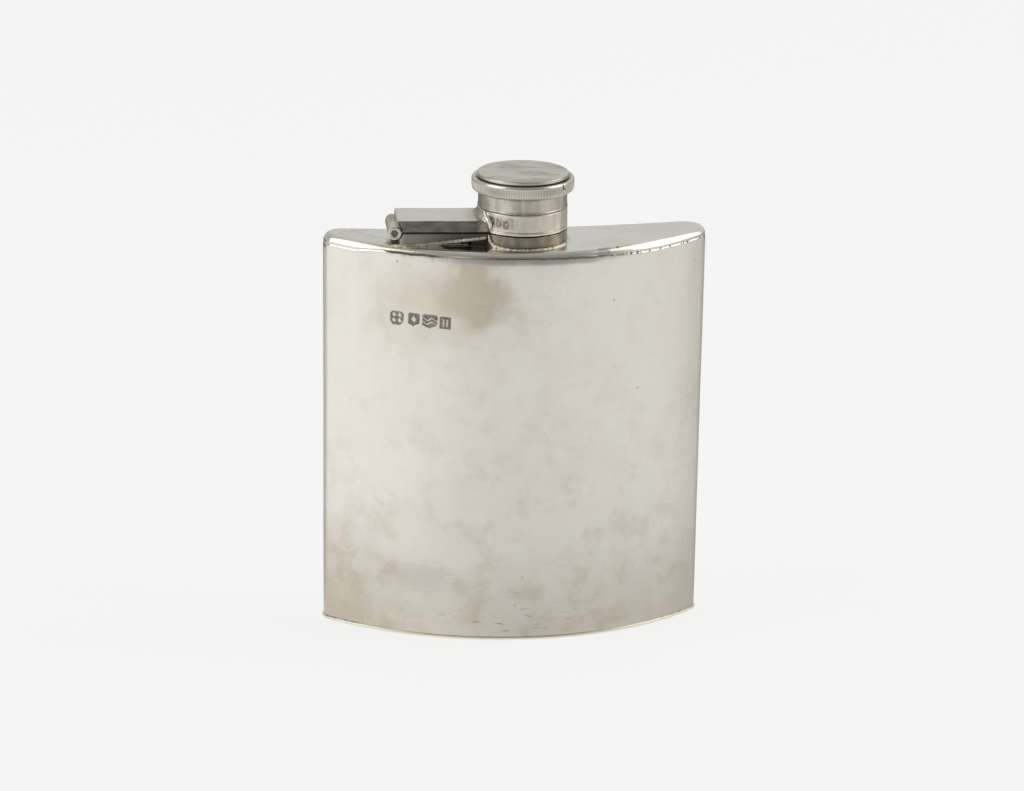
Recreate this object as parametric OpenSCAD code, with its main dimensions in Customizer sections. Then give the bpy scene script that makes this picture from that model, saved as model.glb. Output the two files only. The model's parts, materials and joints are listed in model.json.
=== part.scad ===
// Silver hip flask with a captive bayonet cap on a hinged arm.
// Millimetres. +X runs to the right, +Y to the back (the hollow side that faces the hip), +Z up.
// The origin is the middle of the flask's footprint, at the surface it stands on.

/* [Body] */
// Width across the body at the shoulder
body_w = 94; // [88:1:100]
// Thickness of the body at its middle, front to back
body_t = 25.8; // [25.4:0.1:26.4]
// Radius of the convex front, seen from above
front_r = 61.1; // [60:0.1:62]
// Radius of the rounded ends, seen from above
end_r = 5.1; // [4.9:0.1:5.3]
// Height of the soldered seam between the walls and the shoulder
seam_z = 95.4; // [90:0.1:102]
// Depth of the rounded edge of the shoulder, seen from above
lip_r = 1.5; // [1.2:0.1:1.8]
// Height of the rounded edge of the shoulder
lip_h = 2.1; // [1.8:0.1:2.4]
// Thickness of the silver sheet
wall = 0.8; // [0.7:0.1:1]
// Width of the base as a share of the width of the shoulder
base_share_x = 0.98; // [0.97:0.005:1]
// Thickness of the base as a share of the thickness of the shoulder
base_share_y = 0.989; // [0.98:0.001:1]
// How far the edge of the base plate stands out of the walls
base_lip = 0.25; // [0.1:0.05:0.4]

/* [Neck] */
// Distance of the neck from the middle of the body, to the right
neck_x = 0.4; // [-1:0.1:1]
// Distance of the neck from the middle of the body, to the back
neck_y = -0.3; // [-0.6:0.1:-0.1]
// Outer radius of the filling tube
tube_r = 8.6; // [8.5:0.05:8.65]
// Height of the filling tube above the shoulder
tube_h = 9; // [8:0.1:9]
// Outer radius of the collar, the swivel ring and the sleeve of the cap
collar_r = 10.93; // [10.9:0.01:11]
// Radius of a bayonet lug
lug_r = 0.75; // [0.6:0.05:0.8]
// Width of the dark gap between the fixed parts and the parts that lift
part_gap = 0.3; // [0.2:0.05:0.4]

/* [Hinge] */
// Distance from the middle of the neck to the hinge pin
reach = 31.3; // [30:0.1:32]
// Angle by which the arm turns away from the width of the body
arm_skew = 3.84; // [3:0.01:5]
// Width of the arm
arm_w = 13.2; // [12.6:0.1:13.6]
// Height of the box that carries the ring
arm_h = 2.95; // [2.8:0.05:3.1]
// Outer radius of the hinge barrel
barrel_r = 1.65; // [1.6:0.01:1.7]
// Radius of the hinge pin
pin_r = 0.75; // [0.6:0.05:0.8]
// Radial clearance of the hinge pin and of the cap in its ring
run_gap = 0.05; // [0.03:0.01:0.08]

/* [Cap] */
// Height of the swivel ring
ring_h = 5.1; // [5:0.05:5.2]
// Height of the plain sleeve above the swivel ring
sleeve_h = 4.05; // [4:0.05:4.6]
// Height of the milled rim
rim_h = 3.15; // [2.8:0.05:3.2]
// Outer radius of the milled rim
rim_r = 12.45; // [12.3:0.05:12.6]
// Radius of the disc on top of the cap
disc_r = 11.1; // [10.8:0.05:11.15]
// Angle through which the cap turns to lock
lock_turn = 80; // [70:5:90]

/* [Hidden] */
$fn = 96;
eps = 0.5;

silver = [0.74, 0.72, 0.68];
bright_silver = [0.82, 0.81, 0.77];
solder_grey = [0.80, 0.78, 0.66];
cork_brown = [0.72, 0.55, 0.38];

// Outline of the body, seen from above: four arcs that run smoothly into each other
end_x = body_w / 2 - end_r;
end_to_front = sqrt(pow(front_r - end_r, 2) - end_x * end_x);
end_depth = front_r - end_to_front;
body_d = end_depth + end_r;
front_y = -body_d / 2;
front_c = [0, front_y + front_r];
end_y = front_y + end_depth;
rear_y = front_y + body_t;
rear_rise = rear_y - end_y;
rear_r = (end_x * end_x + rear_rise * rear_rise - end_r * end_r) / (2 * (end_r - rear_rise));
rear_c = [0, rear_y + rear_r];
front_a = atan2(end_y - front_c.y, end_x);
rear_a = atan2(end_y - rear_c.y, end_x);

// Heights
base_h = wall;
top_z = seam_z + lip_h;
flange_h = 2.5;
collar_top = top_z + 3;
ring_z = collar_top + part_gap;
pin_z = collar_top + part_gap / 2;
ring_top = ring_z + ring_h;
sleeve_z = ring_top + 0.15;
rim_z = sleeve_z + sleeve_h;
rim_top = rim_z + rim_h;
disc_top = rim_top + 1.2;
disc_under = disc_top - 1;
tube_top = top_z + tube_h;
lug_z = collar_top + 2.1;

// Radii inside the cap
skirt_r = 10.05;
skirt_in = 9.25;
tube_in = tube_r - wall;
ring_in = skirt_r + run_gap;
keeper_r = skirt_r + 0.45;
lug_end = skirt_r - 0.25;

// Hinge, in a frame whose origin is the axis of the neck and whose -X points to the pin
arm_front = -7.1;
arm_back = arm_front + arm_w;
arm_left = -reach + 0.6;
block_left = -reach + 1.3;
knuckle_gap = 0.1;
front_knuckle_l = 9.3;
fixed_knuckle_l = 2.4;
fixed_from = arm_front + front_knuckle_l + knuckle_gap;
rear_from = fixed_from + fixed_knuckle_l + knuckle_gap;
cove_r = barrel_r + 0.3;
pocket_left = -reach + 3.2;
pocket_right = -collar_r - 1.8;
floor_t = 0.6;
tilt_from = -24;
tilt_rise = 2.2;

// Points along an arc about c, from angle a to angle b
function arc(c, r, a, b, n) = [for (i = [0:n]) c + r * [cos(a + (b - a) * i / n), sin(a + (b - a) * i / n)]];

// The same points without the first one, so that two arcs share a point only once
function tail(v) = [for (i = [1:len(v) - 1]) v[i]];
function backwards(v) = [for (i = [len(v) - 1:-1:0]) v[i]];

// Front half of the outline, moved inwards by d, from the left end to the right end
function front_path(d) = concat(
    arc([-end_x, end_y], end_r - d, 180, 180 - front_a, 8),
    tail(arc(front_c, front_r - d, -180 - front_a, front_a, 40)),
    tail(arc([end_x, end_y], end_r - d, front_a, 0, 8)));

// Back half of the outline, moved inwards by d, from the right end to the left end
function back_path(d) = concat(
    arc([end_x, end_y], end_r - d, 0, 180 + rear_a, 12),
    tail(arc(rear_c, rear_r + d, rear_a, -180 - rear_a, 20)),
    tail(arc([-end_x, end_y], end_r - d, -rear_a, 180, 12)));

// The whole outline, and the same at the foot of the walls
function outline(d) = concat(front_path(d), [for (i = [1:len(back_path(d)) - 2]) back_path(d)[i]]);
function foot_outline(d) = [for (p = outline(d)) [p.x * base_share_x, p.y * base_share_y]];
function strip(outer, inner) = concat(outer, backwards(inner));

// A solid between level rings of points, one ring above the other
module loft(rings) {
    n = len(rings[0]);
    points = [for (ring = rings) each ring];
    sides = [for (k = [0:len(rings) - 2], i = [0:n - 1])
        [k * n + i, (k + 1) * n + i, (k + 1) * n + (i + 1) % n, k * n + (i + 1) % n]];
    bottom = [for (i = [0:n - 1]) i];
    top = [for (i = [n - 1:-1:0]) (len(rings) - 1) * n + i];
    polyhedron(points, concat([bottom], sides, [top]), convexity = 6);
}

// One level ring of the outline
function level(d, z) = [for (p = outline(d)) [p.x, p.y, z]];

// Rings round an edge that starts upright at height z and ends level, h higher and r further in
function rounding(inset, z, r, h, steps) =
    [for (k = [0:steps]) level(inset + r * (1 - cos(90 * k / steps)), z + h * sin(90 * k / steps))];

// A wall that stands on the base and widens towards the shoulder
module panel(shape) {
    translate([0, 0, base_h])
        linear_extrude(height = seam_z - base_h, scale = [1 / base_share_x, 1 / base_share_y], slices = 1, $fn = 0)
            scale([base_share_x, base_share_y])
                polygon(shape);
}

module at_neck() {
    translate([neck_x, neck_y, 0])
        rotate([0, 0, -arm_skew])
            children();
}

// A turned piece about the axis of the neck, from its section
module turned(section) {
    at_neck()
        rotate_extrude()
            polygon(section);
}

module tube(outer, inner, low, high) {
    turned([[inner, low], [outer, low], [outer, high], [inner, high]]);
}

// A cylinder along the hinge, from one place across the arm to another
module barrel(r, from, to) {
    translate([-reach, from, pin_z])
        rotate([-90, 0, 0])
            cylinder(r = r, h = to - from, $fn = 64);
}

module front_panel() {
    color(silver)
        panel(strip(front_path(0), front_path(wall)));
}

module back_panel() {
    color(silver)
        panel(strip(back_path(0), back_path(wall)));
}

// A shallow tray turned over: its flange stands inside the walls and its edge is rounded
module shoulder_plate() {
    flange_out = wall + 0.1;
    flange_in = flange_out + wall;
    color(bright_silver)
        difference() {
            loft(concat(
                backwards(rounding(flange_in, top_z - wall - lip_r / 2, lip_r / 2, lip_r / 2, 2)),
                [level(flange_in, seam_z - flange_h), level(flange_out, seam_z - flange_h)],
                [level(flange_out, seam_z)],
                rounding(0, seam_z, lip_r, lip_h, 5)));
            at_neck()
                translate([0, 0, seam_z - flange_h])
                    cylinder(r = tube_r, h = flange_h + lip_h + eps);
        }
}

// Flat plate with a flange that stands inside the walls
module base_plate() {
    color(silver)
        difference() {
            union() {
                linear_extrude(height = base_h)
                    polygon(foot_outline(-base_lip));
                linear_extrude(height = base_h + flange_h)
                    polygon(foot_outline(wall + 0.1));
            }
            translate([0, 0, base_h])
                linear_extrude(height = flange_h + eps)
                    polygon(foot_outline(2 * wall));
        }
}

module neck_tube() {
    color(silver)
        tube(tube_r, tube_in, top_z - 2.4, tube_top);
}

module neck_collar() {
    color(silver)
        turned([[tube_r, top_z], [collar_r, top_z], [collar_r, collar_top - 0.15],
            [collar_r - 0.15, collar_top], [tube_r, collar_top]]);
}

// Two studs on the tube, in line with the hinge pin, that the slots of the cap turn under
module bayonet_lugs() {
    color(silver)
        at_neck()
            for (side = [-1, 1])
                difference() {
                    rotate([-90 * side, 0, 0])
                        translate([0, -lug_z * side, tube_r - eps])
                            cylinder(r = lug_r, h = lug_end - tube_r + eps, $fn = 48);
                    translate([0, 0, top_z])
                        cylinder(r = tube_r, h = tube_h);
                }
}

// Solder run round the foot of the collar, open where the lower box meets it
module neck_solder() {
    color(solder_grey)
        at_neck()
            rotate([0, 0, -137])
                rotate_extrude(angle = 274)
                    polygon([[collar_r, top_z], [collar_r + 0.6, top_z], [collar_r + 0.25, top_z + 0.3],
                        [collar_r, top_z + 0.8]]);
}

// Lower box: an open tray turned over and soldered to the shoulder. The foot of its front wall rises
// towards the neck, so that a dark wedge shows under it.
module hinge_block() {
    color(silver)
        at_neck()
            difference() {
                translate([block_left, arm_front, top_z])
                    cube([-block_left, arm_w, collar_top - top_z]);
                translate([pocket_left, arm_front + wall, top_z - eps])
                    cube([pocket_right - pocket_left, arm_w - 2 * wall, collar_top - top_z - wall + eps]);
                translate([tilt_from, arm_front - eps, top_z])
                    rotate([90, 0, 0])
                        mirror([0, 0, 1])
                            linear_extrude(height = wall + 2 * eps)
                                polygon([[0, 0], [-tilt_from - collar_r + 1.4, tilt_rise], [-tilt_from, tilt_rise],
                                    [-tilt_from, -eps], [0, -eps]]);
                translate([0, 0, top_z - eps])
                    cylinder(r = collar_r, h = collar_top - top_z + 2 * eps);
                barrel(cove_r, arm_front - eps, arm_back + eps);
            }
}

// Solder along the front and the back of the lower box
module block_solder() {
    bead_r = 0.45;
    color(solder_grey)
        at_neck() {
            for (side = [0, 1])
                translate([block_left, side == 0 ? arm_front : arm_back, top_z])
                    mirror([0, side, 0])
                        rotate([90, 0, 90])
                            linear_extrude(height = side == 0 ? tilt_from - block_left : -block_left - collar_r)
                                polygon([[0, 0], [-0.9, 0], [-0.3, 0.25], [0, 0.8]]);
            difference() {
                translate([tilt_from, arm_front, top_z + bead_r])
                    rotate([0, 90 - atan2(tilt_rise, -tilt_from - collar_r), 0])
                        cylinder(r = bead_r, h = 13, $fn = 32);
                translate([tilt_from - eps, arm_front, top_z - eps])
                    cube([15, 1.2, 5]);
                translate([0, 0, top_z - eps])
                    cylinder(r = collar_r, h = 5);
            }
        }
}

// Fixed knuckle with the foot that ties it to the lower box and the shoulder
module block_knuckle() {
    color(silver)
        at_neck()
            difference() {
                union() {
                    barrel(barrel_r, fixed_from, fixed_from + fixed_knuckle_l);
                    translate([-reach - 0.5, fixed_from, top_z])
                        cube([block_left + reach + 0.5, fixed_knuckle_l, pin_z - top_z - barrel_r / 2]);
                }
                barrel(pin_r, fixed_from - eps, fixed_from + fixed_knuckle_l + eps);
            }
}

module hinge_pin() {
    color(silver)
        at_neck()
            barrel(pin_r, arm_front + 0.4, arm_back - 0.2);
}

// Upper box, coved round the barrel at one end and round the swivel ring at the other
module hinge_arm() {
    color(bright_silver)
        at_neck()
            difference() {
                translate([arm_left, arm_front, ring_z])
                    cube([-arm_left, arm_w, arm_h]);
                translate([pocket_left, arm_front + wall, ring_z - eps])
                    cube([pocket_right - pocket_left, arm_w - 2 * wall, arm_h - wall + eps]);
                translate([0, 0, ring_z - eps])
                    cylinder(r = collar_r, h = arm_h + 2 * eps);
                barrel(barrel_r, arm_front - eps, arm_back + eps);
                barrel(cove_r, fixed_from - knuckle_gap, rear_from);
            }
}

// Thin plate that closes the upper box from below
module arm_floor() {
    color(silver)
        at_neck()
            translate([pocket_left, arm_front + wall, ring_z])
                cube([pocket_right - pocket_left, arm_w - 2 * wall, floor_t]);
}

module arm_knuckle(from, length) {
    difference() {
        barrel(barrel_r, from, from + length);
        barrel(pin_r + run_gap, from - eps, from + length + eps);
    }
}

module front_knuckle() {
    color(bright_silver)
        at_neck()
            arm_knuckle(arm_front, front_knuckle_l);
}

module rear_knuckle() {
    color(bright_silver)
        at_neck()
            arm_knuckle(rear_from, arm_back - rear_from);
}

// Ring that the cap turns in, with a fine moulded line near its foot and a seat for the keeper inside
module swivel_ring() {
    color(silver)
        turned([[keeper_r + run_gap, ring_z], [collar_r, ring_z], [collar_r + 0.03, ring_z + 0.4],
            [collar_r, ring_z + 0.7], [collar_r - 0.12, ring_z + 0.8], [collar_r - 0.04, ring_z + 0.95],
            [collar_r - 0.04, ring_top - 0.15], [collar_r - 0.15, ring_top], [ring_in, ring_top],
            [ring_in, ring_z + 1], [keeper_r + run_gap, ring_z + 1]]);
}

// Solder that fills the corner between the upper box and the swivel ring
module arm_solder() {
    arm_top = ring_z + arm_h;
    color(solder_grey)
        at_neck()
            rotate([0, 0, 151])
                rotate_extrude(angle = 56)
                    polygon([[collar_r, arm_top], [collar_r + 2.5, arm_top], [collar_r + 0.9, arm_top + 0.7],
                        [collar_r, arm_top + 1.8]]);
}

// Top of the cap: a slightly domed disc on a short hollow stem
module cap_disc() {
    stem_in = skirt_r - wall;
    color(bright_silver)
        turned([[0, disc_under], [stem_in, disc_under], [stem_in, rim_z + wall], [skirt_r, rim_z + wall],
            [skirt_r, disc_under], [disc_r - 0.35, disc_under], [disc_r - 0.05, disc_under + 0.25],
            [disc_r, disc_under + 0.5], [disc_r - 0.15, disc_top - 0.3], [disc_r - 0.6, disc_top - 0.12],
            [disc_r / 2, disc_top - 0.02], [0, disc_top]]);
}

// Grip ring, with a small index notch near the front
module milled_rim() {
    color(silver)
        difference() {
            turned([[skirt_r, rim_z], [rim_r - 0.5, rim_z], [rim_r - 0.2, rim_z + 0.45], [rim_r, rim_z + 1.2],
                [rim_r, rim_top - 0.5], [rim_r - 0.25, rim_top], [rim_r - 0.75, rim_top],
                [rim_r - 1.2, rim_top - 0.5], [skirt_r, rim_top - 0.6]]);
            at_neck()
                rotate([0, 0, -41.5])
                    translate([rim_r + 0.25, 0, rim_top - 1.5])
                        cylinder(r = 0.4, h = 1.2, $fn = 24);
        }
}

module cap_sleeve() {
    color(silver)
        turned([[skirt_r, sleeve_z], [collar_r, sleeve_z], [collar_r, sleeve_z + 0.3],
            [collar_r - 0.12, sleeve_z + 0.45], [collar_r - 0.12, rim_z], [skirt_r, rim_z]]);
}

// Inner sleeve with two bayonet slots: each rises from the foot and then runs round
module bayonet_sleeve() {
    slot_gap = 0.15;
    mouth = 2.6;
    color(silver)
        difference() {
            tube(skirt_r, skirt_in, ring_z + 0.1, rim_z);
            at_neck()
                for (turn = [90, 270])
                    rotate([0, 0, turn]) {
                        translate([skirt_in - eps, -mouth / 2, ring_z - eps])
                            cube([skirt_r - skirt_in + 2 * eps, mouth, lug_z + lug_r + slot_gap - ring_z + eps]);
                        rotate_extrude(angle = lock_turn + 6)
                            translate([skirt_in - eps, lug_z - lug_r - slot_gap])
                                square([skirt_r - skirt_in + 2 * eps, 2 * (lug_r + slot_gap)]);
                    }
        }
}

// Keeper on the foot of the inner sleeve, which holds the cap in its ring
module retaining_ring() {
    color(silver)
        tube(keeper_r, skirt_r, ring_z + 0.1, ring_z + 0.9);
}

module cork_backing() {
    color(silver)
        at_neck()
            translate([0, 0, rim_z])
                cylinder(r = skirt_r, h = wall);
}

// Cork disc that is pressed on the mouth of the tube
module cork_seal() {
    color(cork_brown)
        at_neck()
            translate([0, 0, tube_top + 0.1])
                cylinder(r = skirt_in - 0.05, h = rim_z - tube_top - 0.1);
}

front_panel();
back_panel();
shoulder_plate();
base_plate();
neck_tube();
neck_collar();
bayonet_lugs();
neck_solder();
hinge_block();
block_solder();
block_knuckle();
hinge_pin();
hinge_arm();
arm_floor();
front_knuckle();
rear_knuckle();
swivel_ring();
arm_solder();
cap_disc();
milled_rim();
cap_sleeve();
bayonet_sleeve();
retaining_ring();
cork_backing();
cork_seal();
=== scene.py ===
"""Looks of the silver hip flask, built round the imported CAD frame.

Lengths inside the helpers are millimetres in the frame's own axes, and MM turns them into metres
when a mesh is made. Angles are degrees, counted from +X towards +Y, where nothing else is said.
"""
import json
import math

import bmesh
import bpy
import numpy as np
from mathutils import Matrix, Vector, noise


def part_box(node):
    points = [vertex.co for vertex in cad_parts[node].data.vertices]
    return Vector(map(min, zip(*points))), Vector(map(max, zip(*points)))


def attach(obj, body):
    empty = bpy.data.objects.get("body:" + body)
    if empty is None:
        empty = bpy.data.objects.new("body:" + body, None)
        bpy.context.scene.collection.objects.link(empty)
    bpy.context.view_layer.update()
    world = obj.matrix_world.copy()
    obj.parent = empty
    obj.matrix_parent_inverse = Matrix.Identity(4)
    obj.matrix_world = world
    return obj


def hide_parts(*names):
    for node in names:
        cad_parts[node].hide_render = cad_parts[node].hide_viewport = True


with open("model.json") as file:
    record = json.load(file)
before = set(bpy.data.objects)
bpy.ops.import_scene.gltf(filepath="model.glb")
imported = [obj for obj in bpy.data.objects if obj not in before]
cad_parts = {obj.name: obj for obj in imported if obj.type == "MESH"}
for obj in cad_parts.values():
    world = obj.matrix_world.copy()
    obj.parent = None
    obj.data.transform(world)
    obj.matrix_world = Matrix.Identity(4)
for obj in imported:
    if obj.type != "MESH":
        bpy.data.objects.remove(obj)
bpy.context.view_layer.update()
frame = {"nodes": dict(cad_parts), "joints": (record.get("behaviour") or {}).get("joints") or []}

MM = 0.001


# ---------------------------------------------------------------- sizes

def box_mm(node):
    low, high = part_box(node)
    return np.array(low) / MM, np.array(high) / MM


def span_z(node):
    low, high = box_mm(node)
    return low[2], high[2]


def radius_of(node, axis=0):
    return np.ptp(box_mm(node), axis=0)[axis] / 2


# Sizes that a box does not give
FRONT_R = 61.1      # radius of the convex front
END_R = 5.1         # radius of the rounded ends
BODY_T = 25.8       # thickness at the middle
WALL = 0.8
EDGE_IN = 1.75      # rounded edge of the shoulder: how far in it reaches
EDGE_H = 2.8        # and how high it is, with its foot on the walls, below the seam
SEAM_RISE = 0.78    # how far the seam on the front rises between its ends
RISE = ((-43, -34), (36, -8))   # and the places across where it starts and is full
FOOT_SHARE = (0.98, 0.989)      # the base as a share of the shoulder, in X and Y
FOOT_LIP = 0.25     # how far the base plate stands out
ARM_FRONT = -7.1    # front and back of the hinge arm, from the neck's middle
ARM_BACK = 6.1
KNUCKLE_L = 9.3     # length of the front knuckle
BORE_R = 0.8        # the knuckles' bore
FLANGE_GAP = 0.1    # between the walls and the flanges inside them
RING_GAP = 0.05     # round the pieces that turn in the swivel ring

# Sizes from the frame
shoulder_low, shoulder_high = box_mm("shoulder_plate")
HALF_W = shoulder_high[0]
FRONT_Y = shoulder_low[1]
TOP_Z = shoulder_high[2]
BASE_H, SEAM_Z = span_z("front_panel")
FLANGE_H = span_z("base_plate")[1] - BASE_H
EDGE_Z = TOP_Z - EDGE_H

collar_low, collar_high = box_mm("neck_collar")
NECK = (collar_low + collar_high)[:2] / 2
COLLAR_R = radius_of("neck_collar")
COLLAR_TOP = collar_high[2]
TUBE_R = radius_of("neck_tube")
RING_Z, RING_TOP = span_z("swivel_ring")
SLEEVE_Z, RIM_Z = span_z("cap_sleeve")
RIM_TOP = span_z("milled_rim")[1]
RIM_R = radius_of("milled_rim")
DISC_TOP = span_z("cap_disc")[1]
DISC_UNDER = DISC_TOP - 1.0
DISC_R = radius_of("cap_disc")
SKIRT_R = radius_of("bayonet_sleeve")
KEEPER_R = radius_of("retaining_ring")
ARM_TOP = span_z("hinge_arm")[1]

hinge = next(j for j in frame["joints"] if j["name"] == "arm_hinge")
PIN = np.array(hinge["pos_m"]) / MM
PIN_Z = PIN[2]
BARREL_R = radius_of("front_knuckle", axis=2)
REACH = math.dist(PIN[:2], NECK)
SKEW = math.degrees(math.atan2(PIN[1] - NECK[1], NECK[0] - PIN[0]))


def at_neck(points):
    """Points given round the neck, with -X towards the hinge, in the frame's axes."""
    p = np.asarray(points, float)
    a = math.radians(-SKEW)
    x = p[..., 0] * math.cos(a) - p[..., 1] * math.sin(a) + NECK[0]
    y = p[..., 0] * math.sin(a) + p[..., 1] * math.cos(a) + NECK[1]
    return np.stack([x, y, p[..., 2]], axis=-1)


# ---------------------------------------------------------------- small helpers

def smooth(t):
    t = np.clip(t, 0, 1)
    return t * t * (3 - 2 * t)


def ripple(x, y, seed=0.0):
    """A gentle uneven field, about -1 to 1, that changes over lengths near 1."""
    total = 0
    for k, (fx, fy) in enumerate(((0.9, 0.35), (-0.5, 1.1), (1.7, -0.8), (0.6, 2.1), (-2.3, 1.4))):
        total = total + np.sin(fx * x * 2.3 + fy * y * 2.3 + 1.7 * k + seed) / (1 + 0.5 * k)
    return total / 2.6


def ragged(along, *waves):
    """A value from 0 to 1 that changes along a line. Each wave is a share, a length and a seed."""
    total = 0.5
    for share, length, seed in waves:
        total = total + share * ripple(along / length, along * 0, seed)
    return np.clip(total, 0, 1)


def distance_along(x, y):
    return np.concatenate([[0], np.cumsum(np.hypot(np.diff(x), np.diff(y)))])


def linked(name, data):
    """A new object in the scene."""
    obj = bpy.data.objects.new(name, data)
    bpy.context.scene.collection.objects.link(obj)
    return obj


def modify(obj, kind, **settings):
    modifier = obj.modifiers.new(kind, kind)
    for key, value in settings.items():
        setattr(modifier, key, value)


def bake(obj):
    """Puts the result of the object's modifiers in its mesh."""
    result = bpy.data.meshes.new_from_object(obj.evaluated_get(bpy.context.evaluated_depsgraph_get()))
    result.name = obj.name
    obj.modifiers.clear()
    obj.data = result


def hand_over(obj, node, body, material):
    """Makes the object the looks of one CAD node."""
    obj.data.materials.clear()
    obj.data.materials.append(material)
    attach(obj, body)
    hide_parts(node)


def make_mesh(node, verts, faces, body, material, dirt=None, flat=False):
    """The looks of a CAD node. dirt, one number for each vertex, darkens the material there, and flat
    lets the large faces decide the shading, so that they stay flat beside rounded edges."""
    mesh = bpy.data.meshes.new(node)
    mesh.from_pydata([tuple(v) for v in np.asarray(verts) * MM], [], faces)
    if dirt is not None:
        shade = mesh.attributes.new("dirt", "FLOAT", "POINT")
        shade.data.foreach_set("value", np.asarray(dirt, np.float32).ravel())
    bm = bmesh.new()
    bm.from_mesh(mesh)
    bmesh.ops.recalc_face_normals(bm, faces=bm.faces)
    bm.to_mesh(mesh)
    bm.free()
    mesh.shade_smooth()
    mesh.set_sharp_from_angle(angle=math.radians(40))
    obj = linked(node, mesh)
    if flat:
        modify(obj, "WEIGHTED_NORMAL", keep_sharp=True)
        bake(obj)
    hand_over(obj, node, body, material)


def grid_faces(rows, columns, wrap_rows=False, wrap_columns=False, start=0):
    """Quads over a grid of points that is stored row by row."""
    faces = []
    for i in range(rows if wrap_rows else rows - 1):
        a, b = i * columns, ((i + 1) % rows) * columns
        for k in range(columns if wrap_columns else columns - 1):
            n = (k + 1) % columns
            faces.append((start + a + k, start + a + n, start + b + n, start + b + k))
    return faces


def tube_faces(rows, columns):
    """Faces of a grid whose rows are closed lines, with its first and last row filled in."""
    first, last = range(columns - 1, -1, -1), range((rows - 1) * columns, rows * columns)
    return grid_faces(rows, columns, wrap_columns=True) + [tuple(first), tuple(last)]


def soften(points, radius, steps=3, closed=True):
    """The polygon with each corner rounded off."""
    pts = [np.array(p, float) for p in points]
    out = []
    n = len(pts)
    for i, p in enumerate(pts):
        if not closed and i in (0, n - 1):
            out.append(p)
            continue
        before, after = pts[i - 1] - p, pts[(i + 1) % n] - p
        r = min(radius, 0.45 * np.linalg.norm(before), 0.45 * np.linalg.norm(after))
        a = p + before / np.linalg.norm(before) * r
        b = p + after / np.linalg.norm(after) * r
        for s in np.linspace(0, 1, steps + 1):
            out.append((1 - s) ** 2 * a + 2 * s * (1 - s) * p + s * s * b)
    return out


def divide(points, longest, closed=True):
    """The same line with extra points, so that no stretch is longer than the given length."""
    out = []
    last = len(points) if closed else len(points) - 1
    for i in range(last):
        a, b = np.array(points[i]), np.array(points[(i + 1) % len(points)])
        n = max(1, math.ceil(np.linalg.norm(b - a) / longest))
        out += [a + (b - a) * k / n for k in range(n)]
    if not closed:
        out.append(np.array(points[-1]))
    return out


# ---------------------------------------------------------------- materials

class Nodes:
    """The nodes of a material or world, with short names for their arithmetic. A value is a socket or a
    number."""

    def __init__(self, owner):
        owner.use_nodes = True
        owner.node_tree.nodes.clear()
        self.owner = owner
        self.tree = owner.node_tree

    def made(self, kind, inputs=None, **settings):
        """The outputs of a new node. The inputs, by name or number, are linked or set."""
        n = self.tree.nodes.new(kind)
        for key, value in settings.items():
            setattr(n, key, value)
        for key, value in (inputs or {}).items():
            if isinstance(value, bpy.types.NodeSocket):
                self.tree.links.new(value, n.inputs[key])
            elif value is not None:
                n.inputs[key].default_value = value
        return n.outputs

    def math(self, operation, a, b=None, clamp=False):
        return self.made("ShaderNodeMath", {0: a, 1: b}, operation=operation, use_clamp=clamp)[0]

    def add(self, *values):
        total = values[0]
        for value in values[1:]:
            total = self.math("ADD", total, value)
        return total

    def times(self, *values):
        total = values[0]
        for value in values[1:]:
            total = self.math("MULTIPLY", total, value)
        return total

    def rest(self, value):
        """What is left of 1."""
        return self.math("SUBTRACT", 1.0, value)

    def absolute(self, value):
        return self.math("ABSOLUTE", value)

    def most(self, a, b):
        return self.math("MAXIMUM", a, b)

    def sway(self, value, size=1.0):
        """A value from 0 to 1, as a swing of the given size about 0."""
        return self.times(self.math("SUBTRACT", value, 0.5), size)

    def length(self, a, b):
        return self.math("SQRT", self.add(self.times(a, a), self.times(b, b)))

    def ramp(self, value, low, high, out_low=0.0, out_high=1.0):
        """Smoothly from out_low at low to out_high at high."""
        ends = {1: low, 2: high, 3: out_low, 4: out_high}
        return self.made("ShaderNodeMapRange", {0: value, **ends}, interpolation_type="SMOOTHSTEP")[0]

    def band(self, value, low, full, to_full, high):
        """0 up to low, 1 from full to to_full, and 0 again from high on."""
        return self.times(self.ramp(value, low, full), self.ramp(value, high, to_full))

    def around(self, output):
        """Angle round the flask from the front, turning right, and the place it is measured from."""
        place = self.made("ShaderNodeTexCoord")[output]
        x, y, z = self.made("ShaderNodeSeparateXYZ", {0: place})
        return self.math("ARCTAN2", x, self.times(y, -1.0)), x, y, z


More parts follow.
